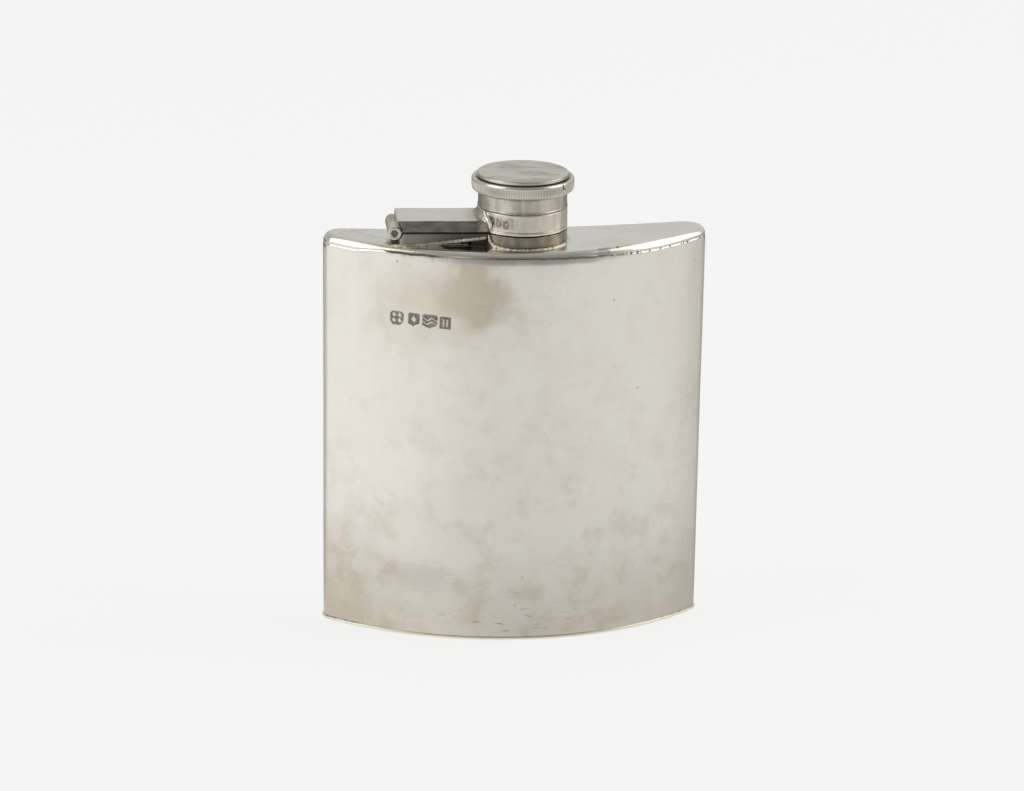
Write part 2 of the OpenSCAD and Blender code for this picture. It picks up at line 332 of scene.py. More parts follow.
class Graph(Nodes):
    """A material's nodes, with coordinates in millimetres: x, y, z in the frame's axes, and ax, ay and
    radius round the neck, with -X towards the hinge."""

    def __init__(self, name):
        super().__init__(bpy.data.materials.new(name))
        place = self.made("ShaderNodeTexCoord")["Object"]
        self.mm = self.made("ShaderNodeVectorMath", {0: place, "Scale": 1 / MM}, operation="SCALE")[0]
        self.x, self.y, self.z = self.made("ShaderNodeSeparateXYZ", {0: self.mm})
        dx, dy = self.add(self.x, -float(NECK[0])), self.add(self.y, -float(NECK[1]))
        c, s = math.cos(math.radians(SKEW)), math.sin(math.radians(SKEW))
        self.ax = self.add(self.times(dx, c), self.times(dy, -s))
        self.ay = self.add(self.times(dx, s), self.times(dy, c))
        self.radius = self.length(self.ax, self.ay)

    def front(self):
        """1 on the front half of the body and 0 on the back half."""
        return self.ramp(self.y, 0.5, -0.5)

    def stretched(self, scale, offset=(0, 0, 0), turn=(0, 0, 0)):
        inputs = {"Vector": self.mm, "Location": offset, "Rotation": turn, "Scale": scale}
        return self.made("ShaderNodeMapping", inputs)[0]

    def noise(self, scale, detail=3.0, rough=0.55, vector=None, warp=0.0):
        inputs = {"Vector": vector or self.mm, "Scale": scale, "Detail": detail, "Roughness": rough,
                  "Distortion": warp}
        return self.made("ShaderNodeTexNoise", inputs)[0]

    def cells(self, scale, vector=None):
        """Distance to the nearest scattered point, and a random number for that point."""
        out = self.made("ShaderNodeTexVoronoi", {"Vector": vector or self.mm, "Scale": scale})
        return out["Distance"], self.made("ShaderNodeSeparateColor", {0: out["Color"]})[0]

    def flecks(self, scale, size, chance, vector=None):
        """Small round flecks, of a size from 0 at its first number to full at its second, at the
        share of the scattered points that lies past the two chances."""
        far, luck = self.cells(scale, vector)
        return self.times(self.ramp(far, *size), self.ramp(luck, *chance))

    def spot(self, x, z, across, up, soft=0.6, wander=0.0):
        """A soft patch on the front or back, 1 at its middle and 0 outside."""
        dx = self.math("DIVIDE", self.add(self.x, -x), across)
        dz = self.math("DIVIDE", self.add(self.z, -z), up)
        return self.ramp(self.add(self.length(dx, dz), wander), 1 + soft / 2, 1 - soft / 2)

    def mix(self, share, a, b):
        return self.made("ShaderNodeMix", {0: share, 6: a, 7: b}, data_type="RGBA")[2]

    def bump(self, height, depth_mm, normal=None):
        inputs = {"Strength": 1.0, "Distance": depth_mm * MM, "Height": height, "Normal": normal}
        return self.made("ShaderNodeBump", inputs)[0]

    def finish(self, color, roughness, normal, metallic=1.0, specular=0.5):
        inputs = {"Base Color": color, "Metallic": metallic, "Roughness": roughness,
                  "Specular IOR Level": specular, "Normal": normal}
        shader = self.made("ShaderNodeBsdfPrincipled", inputs)[0]
        self.made("ShaderNodeOutputMaterial", {"Surface": shader})
        return self.owner


DULL = (0.50, 0.455, 0.385, 1)
# DARK is the colour of dirt, and of painted shade where a piece has it.
DARK = (0.10, 0.085, 0.065, 1)


def old_silver(name, clean, warm, roughness, seed, extra=None, darkener=None, clouds=0.5):
    """Handled silver: cloudy tarnish, fine scratches, pits and a slightly uneven polish. clean and warm are
    the colours of bare and of tarnished metal. extra(g) adds tarnish, and on the walls painted shade along
    the foot as well. The function given for dirt adds dirt, and on some pieces painted shade, where a piece
    has them."""
    g = Graph(name)
    shift = (seed * 7.3, seed * 3.1, seed * 5.7)
    moved = g.stretched((1, 1, 1), shift)
    cloud = g.noise(0.05, 3, 0.55, moved, 0.5)
    g.blotch = g.noise(0.16, 5, 0.6, moved, 0.4)
    g.grain = g.noise(2.2, 5, 0.65, moved)
    patch = g.times(g.ramp(g.add(g.times(cloud, 0.7), g.times(g.blotch, 0.3)), 0.42, 0.66), clouds)
    if extra is not None:
        patch = g.math("ADD", patch, extra(g), clamp=True)
    pit = g.flecks(0.22, (0.07, 0.03), (0.84, 0.88), moved)
    lines = []
    for scale, turn in (((0.10, 0.10, 3.1), 0.25), ((3.4, 3.4, 0.12), -0.2), ((0.2, 0.2, 5.2), 0.9)):
        line = g.noise(1.0, 2, 0.5, g.stretched(scale, shift, (turn, turn * 0.7, 0)))
        lines.append(g.ramp(g.absolute(g.sway(line)), 0.012, 0.0))
    scratch = g.times(g.most(g.most(lines[0], lines[1]), lines[2]),
                      g.ramp(g.noise(0.12, 2, 0.5, moved), 0.45, 0.7))
    dirt = g.made("ShaderNodeAttribute", attribute_name="dirt")["Fac"]
    dirt = g.times(dirt, g.ramp(g.grain, 0.25, 0.6, 0.55, 1.0))
    # On some pieces the function added here brings painted shade as well as dirt; both darken the metal
    # towards DARK.
    if darkener is not None:
        dirt = g.math("ADD", dirt, darkener(g), clamp=True)
    color = g.mix(patch, (*clean, 1), (*warm, 1))
    color = g.mix(g.times(pit, 0.6), color, DULL)
    color = g.mix(g.times(scratch, 0.14), color, DULL)
    color = g.mix(dirt, color, DARK)
    rough = g.add(roughness, g.times(patch, 0.06), g.times(scratch, 0.06), g.times(pit, 0.2),
                  g.times(dirt, 0.25), g.ramp(g.grain, 0.3, 0.7, -0.02, 0.03))
    normal = g.bump(cloud, 0.03, g.bump(g.grain, 0.0012))
    normal = g.bump(g.times(g.add(g.times(scratch, 0.3), pit), -1.0), 0.01, normal)
    # Strong dirt and painted shade turn the metal dull, so that they stay dark whatever the surface faces.
    return g.finish(color, rough, normal, metallic=g.ramp(dirt, 0.3, 0.9, 1.0, 0.2))


def old_solder(name):
    """Pale, slightly yellow silver solder with dirt in its hollows, and a painted highlight on the solder at
    the swivel ring.
    """
    g = Graph(name)
    lumps = g.noise(0.9, 5, 0.65)
    grain = g.noise(4.5, 4, 0.6)
    skirt = g.times(g.ramp(g.ay, ARM_FRONT - 0.25, ARM_FRONT - 0.45), g.ramp(g.ax, -16, -20), 0.5)
    crown = g.times(g.ramp(g.z, ARM_TOP - 0.3, ARM_TOP + 0.1),
                    g.ramp(g.ay, ARM_FRONT + 0.5, ARM_FRONT + 1.2), 0.62)
    # Painted highlight: a pale spot on the solder at the swivel ring, kept clear of dirt.
    painted_highlight = g.times(g.ramp(g.ay, -5.4, -5.9), g.ramp(g.z, RING_Z, RING_Z + 1.2), g.ramp(g.ax, -10.5, -9.8))
    hollows = g.times(g.ramp(lumps, 0.5, 0.3), g.rest(painted_highlight))
    dirt = g.math("ADD", hollows, g.add(skirt, crown), clamp=True)
    color = g.mix(g.ramp(g.noise(0.35, 3), 0.4, 0.65), (0.80, 0.765, 0.66, 1), (0.66, 0.61, 0.47, 1))
    color = g.mix(g.times(dirt, 0.75), color, (0.22, 0.18, 0.13, 1))
    # The pale colour of the painted highlight.
    color = g.mix(painted_highlight, color, (0.93, 0.90, 0.80, 1))
    rough = g.add(0.38, g.times(dirt, 0.2), g.ramp(grain, 0.3, 0.7, -0.04, 0.08))
    return g.finish(color, rough, g.bump(grain, 0.02, g.bump(lumps, 0.08)))


def old_cork(name):
    g = Graph(name)
    body = g.noise(0.8, 6, 0.7)
    pore = g.flecks(0.9, (0.35, 0.1), (0.55, 0.6))
    color = g.mix(g.ramp(body, 0.3, 0.7), (0.50, 0.32, 0.18, 1), (0.68, 0.48, 0.29, 1))
    color = g.mix(pore, color, (0.20, 0.11, 0.05, 1))
    normal = g.bump(g.math("SUBTRACT", body, pore), 0.15)
    return g.finish(color, g.ramp(body, 0.2, 0.8, 0.75, 0.95), normal, metallic=0.0, specular=0.3)


def wall_patches(g):
    """Tarnish of the walls beside the punch marks and towards both ends, and darker along the foot, partly
    tarnish and partly painted shade.
    """
    wander = g.sway(g.noise(0.17, 2, 0.5), 1.6)
    front = g.front()
    brown = g.times(g.spot(-12, 87, 7, 6.5, 1.7, wander), front, 0.72)
    streak = g.times(g.spot(-13, 93, 4, 6, 1.4, wander), front, 0.3)
    trail = g.times(g.spot(-20, 85, 16, 11, 1.6, wander), front, 0.46)
    # Darker towards the foot: partly tarnish, partly painted shade for the shadowed floor that the foot
    # reflects.
    foot = g.times(g.ramp(g.add(g.z, g.times(wander, 6)), 28, -4), 0.55)
    belly = g.times(g.spot(-2, 38, 26, 20, 1.4, wander), 0.12)
    right = g.times(g.ramp(g.add(g.x, g.times(wander, 3)), 30, 46), 0.2)
    left = g.times(g.spot(-48, 0, 15, 26, 1.4, wander), 0.45)
    fine = g.times(g.ramp(g.noise(0.13, 4, 0.62, None, 0.4), 0.46, 0.7), g.ramp(g.z, 75, 10, 0.12, 0.4))
    return g.add(brown, streak, trail, foot, belly, right, left, fine)


def seam_soil(g):
    """Old dirt in the soldered seam: a ragged line, broad in the middle and broken up to the right."""
    slow = g.noise(0.35, 2, 0.5, g.stretched((1, 1, 0.001)))
    quick = g.noise(1.6, 4, 0.7, g.stretched((1, 1, 0.3)))
    middle = g.band(g.x, -14, -8, 14, 22)
    left = g.band(g.x, -35, -32, -23, -18)
    right = g.times(g.ramp(g.x, 16, 22), g.ramp(quick, 0.50, 0.58))
    wide = g.add(0.08, g.times(middle, 0.2), g.times(left, 0.22), g.times(right, 0.25))
    rise = g.times(g.ramp(g.x, *RISE[0]), g.ramp(g.x, *RISE[1]), g.front(), -SEAM_RISE)
    up = g.add(g.z, -SEAM_Z, rise, g.sway(slow, 0.5), g.sway(quick, 0.5))
    line = g.ramp(g.math("DIVIDE", g.absolute(up), wide), 1.3, 0.6)
    share = g.add(0.4, g.times(middle, 0.45), g.times(left, 0.6), g.times(right, 0.6))
    ends = g.ramp(g.absolute(g.x), HALF_W - 0.2, HALF_W - 1.5)
    return g.times(line, share, g.ramp(quick, 0.25, 0.45, 0.55, 1.0), ends)


def wall_dirt_and_shade(g):
    """The seam's dirt, painted shade in a band below it in the middle, a dark line above the base plate, and
    specks and scuffs."""
    # Painted shade in a band just below the seam, in the middle.
    under = g.times(g.ramp(g.z, SEAM_Z - 1.5, SEAM_Z - 0.5), g.band(g.x, -16, -6, 10, 20), 0.24)
    quick = g.noise(0.9, 4, 0.7, g.stretched((1, 1, 0.3)))
    foot = g.times(g.ramp(g.z, BASE_H + 0.35, BASE_H + 0.1), g.ramp(g.absolute(g.x), 30, 42, 0.0, 0.8),
                   g.ramp(quick, 0.4, 0.6, 0.3, 1.0))
    speck = g.times(g.flecks(0.13, (0.05, 0.025), (0.62, 0.66)), 0.5)
    tick = g.noise(1.0, 4, 0.6, g.stretched((0.28, 0.3, 1.5), turn=(0, 0.15, 0)), 0.7)
    scuff = g.times(g.ramp(tick, 0.6, 0.7), g.spot(-4, 5.5, 17, 6, 0.8), g.front(), 0.5)
    smear = g.times(g.spot(-24.5, 15, 7, 3.5, 1.2, g.sway(tick, 1.5)), g.front(), 0.14)
    return g.add(seam_soil(g), under, foot, speck, scuff, smear)


def lip_patches(g):
    """Solder that has run over the rounded edge under the hinge, and a dull place right of the middle."""
    edge = g.ramp(g.z, TOP_Z - 0.02, TOP_Z - 0.2)
    run = g.times(g.spot(-27, SEAM_Z + 1, 9, 2.5, 0.8, g.sway(g.blotch, 1.5)), edge, 0.8)
    stain = g.times(g.spot(23.5, TOP_Z - 0.7, 2.2, 1.4, 0.8), edge)
    return g.add(run, stain, g.times(g.ramp(g.x, 5, -20), 0.25))


def plate_dirt_and_shade(g):
    """The seam's dirt, a dark place on the edge, painted shade in the hollow under the lower box, and the
    neck's foot.
    """
    edge = g.ramp(g.z, TOP_Z - 0.02, TOP_Z - 0.25)
    dull = g.times(g.band(g.x, 16.8, 17.8, 20.0, 21.2), edge, 0.5)
    crumbs = g.flecks(1.1, (0.4, 0.22), (0.45, 0.5))
    bits = g.times(crumbs, g.spot(23.5, TOP_Z - 0.6, 2.0, 1.3, 0.6), edge, 0.9)
    pits = g.times(g.flecks(0.42, (0.16, 0.08), (0.6, 0.65)), edge, g.ramp(g.x, 16, 28), 0.8)
    mottle = g.times(g.ramp(g.noise(0.22, 4, 0.6), 0.45, 0.7), g.ramp(g.x, -14, -30), 0.2)
    # Painted shade on the shoulder under the lower box's hollow.
    hollow = g.times(g.band(g.ax, -25, -20, -9.4, -8.6), g.band(g.ay, -7.9, -7.0, 6.0, 6.4),
                     g.ramp(g.z, TOP_Z - 0.3, TOP_Z - 0.1), 0.85)
    foot = g.times(g.ramp(g.radius, COLLAR_R + 1.3, COLLAR_R + 0.3), g.ramp(g.grain, 0.35, 0.6), 0.45)
    return g.math("ADD", seam_soil(g), g.add(dull, bits, pits, mottle, hollow, foot), clamp=True)


def block_shade_and_darkening(g):
    """Painted shade inside the hollow, and darker towards the neck on the outside."""
    # Painted shade inside the hollow under the box.
    inside = g.times(g.band(g.ay, -7.0, -6.8, 5.8, 6.0), 0.85)
    outside = g.add(g.ramp(g.ax, -31.5, -28.5, 0, 0.74), g.ramp(g.ax, -28, -15, 0, 0.26))
    return g.most(inside, outside)


def arm_run(g, uneven):
    """Where solder has run over the upper box's front, beside the ring."""
    return g.ramp(g.add(g.ax, g.sway(uneven, 5)), -12.0, -10.2)


def arm_patches(g):
    """Solder that has run a little way over the upper box beside the ring."""
    top = g.times(g.ramp(g.add(g.radius, g.sway(g.blotch, 8)), COLLAR_R + 5, COLLAR_R + 1.5), 0.8)
    return g.most(top, g.times(arm_run(g, g.blotch), g.ramp(g.ay, ARM_FRONT + 0.5, ARM_FRONT + 0.2)))


def arm_dirt_and_shade(g):
    """Tarnish and painted shade that darken the front of the upper box, and painted shade in the gap where
    it meets the ring.
    """
    cloud = g.noise(0.45, 4, 0.6, g.stretched((0.5, 1, 1.6)))
    face = g.ramp(g.ay, ARM_FRONT + 0.42, ARM_FRONT + 0.16)
    # The front face: partly tarnish, partly painted shade for the dark surroundings it faces.
    front = g.times(face, g.ramp(cloud, 0.3, 0.7, 0.98, 0.8), g.rest(g.times(arm_run(g, cloud), 0.6)))
    # Painted shade in the gap beside the ring.
    gap = g.times(g.ramp(g.ax, -9.3, -8.8), g.ramp(g.z, ARM_TOP, ARM_TOP - 0.8), face, 0.9)
    speckle = g.times(g.ramp(g.radius, COLLAR_R + 4, COLLAR_R + 1), g.ramp(g.grain, 0.42, 0.62), 0.25)
    return g.most(g.add(front, speckle), gap)


def sleeve_dirt_and_shade(g):
    """Painted shadow in a line under the milled rim, a dark line in the groove at the foot, and painted
    shade on both sides.
    """
    # Painted shadow under the overhanging rim.
    top = g.times(g.ramp(g.z, RIM_Z - 0.75, RIM_Z - 0.2), 0.6)
    low = g.times(g.ramp(g.z, SLEEVE_Z + 0.5, SLEEVE_Z + 0.2), 0.3)
    streak = g.noise(0.5, 4, 0.6, g.stretched((1, 1, 0.2), (3, 1, 0)))
    # Painted shade at both sides of the sleeve.
    side = g.add(g.ramp(g.ax, 8.6, 10.4, 0, 0.45), g.ramp(g.ax, -9.6, -10.5, 0, 0.3))
    return g.add(top, low, side, g.ramp(streak, 0.4, 0.7, 0.0, 0.3))


def ring_soil(g):
    """A dark line along the foot, streaks, and a worn place round the punch marks."""
    streak = g.noise(0.4, 4, 0.6, g.stretched((1, 1, 0.3)))
    line = g.times(g.ramp(g.absolute(g.add(g.z, -RING_Z - 0.8)), 0.14, 0.05), 0.35)
    turn = g.add(g.math("ARCTAN2", g.ay, g.ax), math.radians(123))
    worn = g.times(g.ramp(g.absolute(turn), 0.42, 0.25), g.ramp(g.grain, 0.4, 0.6, 0.05, 0.4),
                   g.ramp(g.absolute(g.add(g.z, -RING_Z - 2.9)), 1.8, 1.2), g.ramp(g.ay, -3, -5))
    return g.add(line, worn, g.ramp(streak, 0.42, 0.7, 0.0, 0.22))


def knuckle_soil(g):
    """Dirt along the top of the hinge barrel, and on its back half."""
    streak = g.noise(0.9, 4, 0.65, g.stretched((2.2, 0.5, 2.2), (6, 2, 0)))
    behind = g.ramp(g.ay, ARM_FRONT + 4, ARM_FRONT + 7.5, 0.1, 0.5)
    return g.times(behind, g.ramp(streak, 0.35, 0.6, 0.35, 1.0))


def collar_soil(g):
    """Dirt at the foot, and streaks."""
    streak = g.noise(0.5, 4, 0.6, g.stretched((1, 1, 0.4), (1, 5, 0)))
    return g.add(g.times(g.ramp(g.z, TOP_Z + 0.9, TOP_Z), 0.3), g.ramp(streak, 0.35, 0.7, 0.12, 0.5))


def cap_shade_and_stains(g):
    """Painted shade in the groove between the disc and the milled rim, and faint stains on the disc."""
    sides = g.add(g.ramp(g.radius, DISC_R + 0.4, DISC_R, 0, 0.45),
                  g.ramp(g.radius, RIM_R - 0.6, RIM_R - 0.9, 0, 0.15))
    # Painted shade in the groove under the disc.
    groove = g.times(g.ramp(g.z, DISC_UNDER + 0.08, DISC_UNDER - 0.08), sides)
    cloud = g.noise(0.13, 3, 0.5, g.stretched((1, 1.6, 1), (4, 9, 2)), 0.3)
    stain = g.times(g.ramp(cloud, 0.44, 0.66), 0.3, g.ramp(g.z, DISC_TOP - 0.4, DISC_TOP - 0.2))
    return g.add(groove, stain)


wall_silver = old_silver("wall_silver", (0.87, 0.845, 0.785), (0.655, 0.59, 0.485), 0.17, 0.0,
                         extra=wall_patches, darkener=wall_dirt_and_shade, clouds=0.12)
base_silver = old_silver("base_silver", (0.88, 0.86, 0.77), (0.76, 0.72, 0.58), 0.36, 9.0)
bright_silver = old_silver("bright_silver", (0.85, 0.835, 0.79), (0.72, 0.69, 0.58), 0.16, 1.0,
                           extra=lip_patches, darkener=plate_dirt_and_shade)
arm_silver = old_silver("arm_silver", (0.76, 0.745, 0.70), (0.62, 0.575, 0.47), 0.16, 5.0,
                        extra=arm_patches, darkener=arm_dirt_and_shade, clouds=0.35)
block_silver = old_silver("block_silver", (0.74, 0.71, 0.65), (0.6, 0.55, 0.47), 0.22, 6.0, darkener=block_shade_and_darkening)
rim_silver = old_silver("rim_silver", (0.70, 0.67, 0.60), (0.54, 0.50, 0.42), 0.24, 2.0, darkener=cap_shade_and_stains)
sleeve_silver = old_silver("sleeve_silver", (0.66, 0.62, 0.54), (0.52, 0.47, 0.38), 0.27, 3.0,
                           darkener=sleeve_dirt_and_shade)
ring_silver = old_silver("ring_silver", (0.74, 0.69, 0.61), (0.60, 0.54, 0.44), 0.26, 3.5, darkener=ring_soil)
# The collar's colours are far darker than the other silver: partly tarnish, partly painted shade for the
# dark things it reflects.
collar_silver = old_silver("collar_silver", (0.36, 0.315, 0.25), (0.27, 0.23, 0.17), 0.28, 4.5,
                           darkener=collar_soil)
inner_silver = old_silver("inner_silver", (0.72, 0.68, 0.60), (0.45, 0.38, 0.28), 0.3, 4.0)
# The pin's colours are far darker than silver: painted shade for the pin sitting recessed in the knuckle's
# bore.
shaded_pin_silver = old_silver("shaded_pin_silver", (0.20, 0.18, 0.15), (0.12, 0.10, 0.08), 0.35, 7.0)
knuckle_silver = old_silver("knuckle_silver", (0.80, 0.77, 0.69), (0.58, 0.53, 0.44), 0.3, 8.0,
                            darkener=knuckle_soil)
solder = old_solder("solder")
cork = old_cork("cork")


# ---------------------------------------------------------------- outline of the body

END_X = HALF_W - END_R
END_TO_FRONT = math.sqrt((FRONT_R - END_R) ** 2 - END_X ** 2)
FRONT_C = (0.0, FRONT_Y + FRONT_R)
END_Y = FRONT_C[1] - END_TO_FRONT
REAR_Y = FRONT_Y + BODY_T
REAR_RISE = REAR_Y - END_Y
REAR_R = (END_X ** 2 + REAR_RISE ** 2 - END_R ** 2) / (2 * (END_R - REAR_RISE))
REAR_C = (0.0, REAR_Y + REAR_R)
FRONT_A = math.degrees(math.atan2(END_Y - FRONT_C[1], END_X))
REAR_A = math.degrees(math.atan2(END_Y - REAR_C[1], END_X))


class Path:
    """Points along arcs. Each keeps its arc, so that the whole line can be moved inwards exactly."""

    def __init__(self):
        self.rows = []

    def arc(self, centre, radius, angles, side=1):
        """side is -1 where the body lies outside the arc's circle."""
        self.rows += [(*centre, radius, math.radians(a), side) for a in angles]

    def at(self, inset):
        """The points, moved inwards by inset, which may be one number or one for each point."""
        x, y, r, a, side = np.array(self.rows).T
        r = r - side * inset
        return x + r * np.cos(a), y + r * np.sin(a)

    def __len__(self):
        return len(self.rows)


def spaced(a, b, n, ends=True):
    """n steps from a to b, without the first value, and without the last unless ends."""
    return list(np.linspace(a, b, n + 1))[1:None if ends else -1]


# Points along the rounded ends
FRONT_END_STEPS = 14
BACK_END_STEPS = 20
# Where the front has its punch marks, across and up, and the length of a mesh face there
MARKS_X = (-33.0, -17.6)
MARKS_Z = (77.6, 81.9)
MARKS_STEP = 0.085
# The bands at the seams, and the height of a mesh face there
SEAM_BAND = 1.6
SEAM_STEP = 0.2


def front_angles(step, fine=None):
    """Angles along the front arc, closer together at the punch marks if fine is given."""
    now, end = -180 - FRONT_A, FRONT_A
    out = []
    while now < end - 1e-6:
        out.append(now)
        x = FRONT_R * math.cos(math.radians(now))
        length = fine if fine and MARKS_X[0] < x < MARKS_X[1] else step
        now += math.degrees(length / FRONT_R)
    return out + [end]


def front_path(angles):
    path = Path()
    path.arc((-END_X, END_Y), END_R, [180] + spaced(180, 180 - FRONT_A, FRONT_END_STEPS, False))
    path.arc(FRONT_C, FRONT_R, angles)
    path.arc((END_X, END_Y), END_R, spaced(FRONT_A, 0, FRONT_END_STEPS))
    return path


def back_path(rear_steps):
    path = Path()
    path.arc((END_X, END_Y), END_R, [0] + spaced(0, 180 + REAR_A, BACK_END_STEPS, False))
    path.arc(REAR_C, REAR_R, [REAR_A] + spaced(REAR_A, -180 - REAR_A, rear_steps, False), -1)
    path.arc((-END_X, END_Y), END_R, [-REAR_A] + spaced(-REAR_A, 180, BACK_END_STEPS))
    return path


def whole_path(front_step):
    path = front_path(front_angles(front_step))
    path.rows += back_path(60).rows[1:-1]
    return path


def ring_of(path, inset, z, share=(1, 1)):
    x, y = path.at(inset)
    return np.stack([x * share[0], y * share[1], np.full(len(path), float(z))], axis=-1)


def circle_round(path, centre, radius, z):
    """A circle whose points lie in the same directions as those of the outline."""
    x, y = path.at(0)
    a = np.arctan2(y - centre[1], x - centre[0])
    height = np.full(len(path), float(z))
    return np.stack([centre[0] + radius * np.cos(a), centre[1] + radius * np.sin(a), height], axis=-1)


def foot_share(z):
    """How much smaller the section is at height z than at the shoulder, in X and Y."""
    t = np.clip((z - BASE_H) / (SEAM_Z - BASE_H), 0, 1)
    return [share + (1 - share) * t for share in FOOT_SHARE]


# ---------------------------------------------------------------- walls

def shape_distance(u, v, corners):
    """Distance to a polygon, negative inside."""
    inside = np.zeros(np.shape(u), bool)
    nearest = np.full(np.shape(u), 1e9)
    for i, (ax, ay) in enumerate(corners):
        bx, by = corners[(i + 1) % len(corners)]
        ex, ey = bx - ax, by - ay
        t = np.clip(((u - ax) * ex + (v - ay) * ey) / (ex * ex + ey * ey), 0, 1)
        nearest = np.minimum(nearest, np.hypot(u - ax - t * ex, v - ay - t * ey))
        if ey:
            inside ^= ((ay > v) != (by > v)) & (u < ax + (v - ay) * ex / ey)
    return np.where(inside, -nearest, nearest)


def round_distance(u, v, x, y, r):
    return np.hypot(u - x, v - y) - r


def within(distance, soft):
    """1 inside a shape and 0 outside, from its distances, with an edge of the given width."""
    return smooth(0.5 - distance / soft)


def shield(w, h):
    top = [(-w, h * 0.8), (-w * 0.8, h), (w * 0.8, h), (w, h * 0.8)]
    return top + [(w, -h * 0.6), (0, -h), (-w, -h * 0.6)]


def four_pellets(u, v):
    places = [(x, y) for x in (-0.75, 0.75) for y in (-0.55, 0.85)]
    return np.minimum.reduce([round_distance(u, v, x, y, 0.5) for x, y in places])


def lozenge(u, v):
    return np.abs(u) * 1.1 + np.abs(v - 0.1) - 0.85


def double_wave(u, v):
    wave = 0.32 * np.sin(u * 2.6)
    return np.minimum(np.abs(v - 0.5 - wave), np.abs(v + 0.45 - wave)) - 0.2


def upright_bars(u, v):
    return np.maximum(np.minimum(np.abs(u + 0.45), np.abs(u - 0.45)) - 0.2, np.abs(v) - 0.95)


CARTOUCHE = [(-1.8, 1.1), (-1.2, 1.75), (1.2, 1.75), (1.8, 1.1), (1.7, -0.6), (0.9, -1.65), (-0.9, -1.65),
             (-1.75, -0.6)]
TABLET = [(-1.4, 1.3), (-1.1, 1.5), (1.1, 1.5), (1.4, 1.3), (1.4, -1.4), (-1.4, -1.4)]
# Generic punch marks: middle across and up, outline, raised device
MARKS = ((-30.8, 79.8, CARTOUCHE, four_pellets), (-26.9, 79.9, shield(1.45, 1.6), lozenge),
         (-23.2, 79.8, shield(1.9, 1.65), double_wave), (-19.6, 79.7, TABLET, upright_bars))
MARK_TILT = 2.0
MARK_DEPTH = 0.15


def punched(x, z):
    """How deep each point of the front is in a punch mark, from 0 to 1."""
    sunk = 0
    a = math.radians(-MARK_TILT)
    for cx, cz, corners, device in MARKS:
        lean = math.cos(math.asin(cx / FRONT_R))
        u = ((x - cx) * math.cos(a) + (z - cz) * math.sin(a)) / lean
        v = -(x - cx) * math.sin(a) + (z - cz) * math.cos(a)
        sunk = sunk + within(shape_distance(u, v, corners), 0.2) * (1 - 0.8 * within(device(u, v), 0.2))
    return sunk


# Small dents: across, up, radius, depth
DENTS = ((-8, 6, 2.6, 0.10), (-3, 4.5, 2.0, 0.09), (-12, 9, 2.2, 0.06), (-4, 8.5, 1.6, 0.07),
         (3, 7, 2.5, 0.05), (-5, 40, 1.0, 0.03), (14, 62, 4, 0.03), (-20, 20, 5, 0.05),
         (28, 15, 6, 0.05), (-15, 33, 0.6, 0.05), (-40, 60, 6, 0.04), (22, 40, 8, 0.04))


def risen(points):
    """The points with the seam raised in the middle of the front, where the edge has been pressed in."""
    x, y, z = points[..., 0], points[..., 1], points[..., 2]
    below, above = smooth(1 - (SEAM_Z - z) / 7), np.clip((TOP_Z - z) / (TOP_Z - SEAM_Z), 0, 1)
    lift = SEAM_RISE * np.where(z < SEAM_Z, below, above) * smooth(0.5 - y)
    for start, full in RISE:
        lift = lift * smooth((x - start) / (full - start))
    return np.stack([x, y, z + lift], axis=-1)


def edge_inset(z):
    """How far the rounded edge of the shoulder lies inside the outline at each height."""
    t = np.clip((z - EDGE_Z) / EDGE_H, 0, 1)
    return EDGE_IN * (1 - np.sqrt(1 - t * t))


def wall_depth(x, z, along, front):
    """How far the wall lies inside its true outline."""
    depth = 0.05 + 0.035 * ripple(along / 32, z / 27, 0.4) + 0.012 * ripple(along / 9, z / 8, 2.0)
    edge = ragged(along, (0.45, 2.1, 1.0), (0.35, 0.6, 3.0))
    depth = depth + edge_inset(z) + (0.06 + 0.16 * edge) * np.exp(-((SEAM_Z - z) / 0.3))
    depth = depth + 0.05 * edge * np.exp(-((z - BASE_H) / 0.5))
    if front:
        depth = depth + MARK_DEPTH * punched(x, z)
        for cx, cz, r, d in DENTS:
            depth = depth + d * np.exp(-((x - cx) ** 2 + (z - cz) ** 2) / (r * r))
    return np.clip(depth, 0.0, 0.6)


def panel(name, path, heights, front):
    """A wall, as an outer and an inner skin joined along their four edges."""
    z = np.array(heights)[:, None] * np.ones(len(path))
    x0, y0 = path.at(0)
    along = distance_along(x0, y0) + (0 if front else 200)
    outer = wall_depth(x0 * np.ones_like(z), z, along * np.ones_like(z), front)
    points = []
    for inset in (outer, np.full_like(z, WALL)):
        points += [ring_of(path, inset[k], h, foot_share(h)) for k, h in enumerate(heights)]
    marks = 0.9 * punched(x0[None, :], z) if front else 0 * z
    dirt = np.concatenate([marks.ravel(), 0 * z.ravel()])
    rows, columns = z.shape
    count = rows * columns
    faces = grid_faces(rows, columns)
    faces += [f[::-1] for f in grid_faces(rows, columns, start=count)]
    for k in range(columns - 1):
        top = (rows - 1) * columns
        faces.append((k + 1, k, count + k, count + k + 1))
        faces.append((top + k, top + k + 1, count + top + k + 1, count + top + k))
    for i in range(rows - 1):
        a, b = i * columns, (i + 1) * columns
        faces.append((a, b, count + b, count + a))
        faces.append((b + columns - 1, a + columns - 1, count + a + columns - 1, count + b + columns - 1))
    make_mesh(name, risen(np.concatenate(points)), faces, "flask", wall_silver, dirt)


def wall_heights(step, fine=None):
    """Heights up the wall, closer together at both seams, and at the punch marks if fine is given."""
    out, now = [], BASE_H
    while now < SEAM_Z - 0.1:
        out.append(now)
        length = SEAM_STEP if min(now - BASE_H, SEAM_Z - now) < SEAM_BAND else step
        if fine and MARKS_Z[0] < now < MARKS_Z[1]:
            length = fine
        now += length
    return out + [SEAM_Z]


panel("front_panel", front_path(front_angles(0.9, MARKS_STEP)), wall_heights(1.3, MARKS_STEP), True)
panel("back_panel", back_path(80), wall_heights(1.3), False)


# ---------------------------------------------------------------- shoulder and base

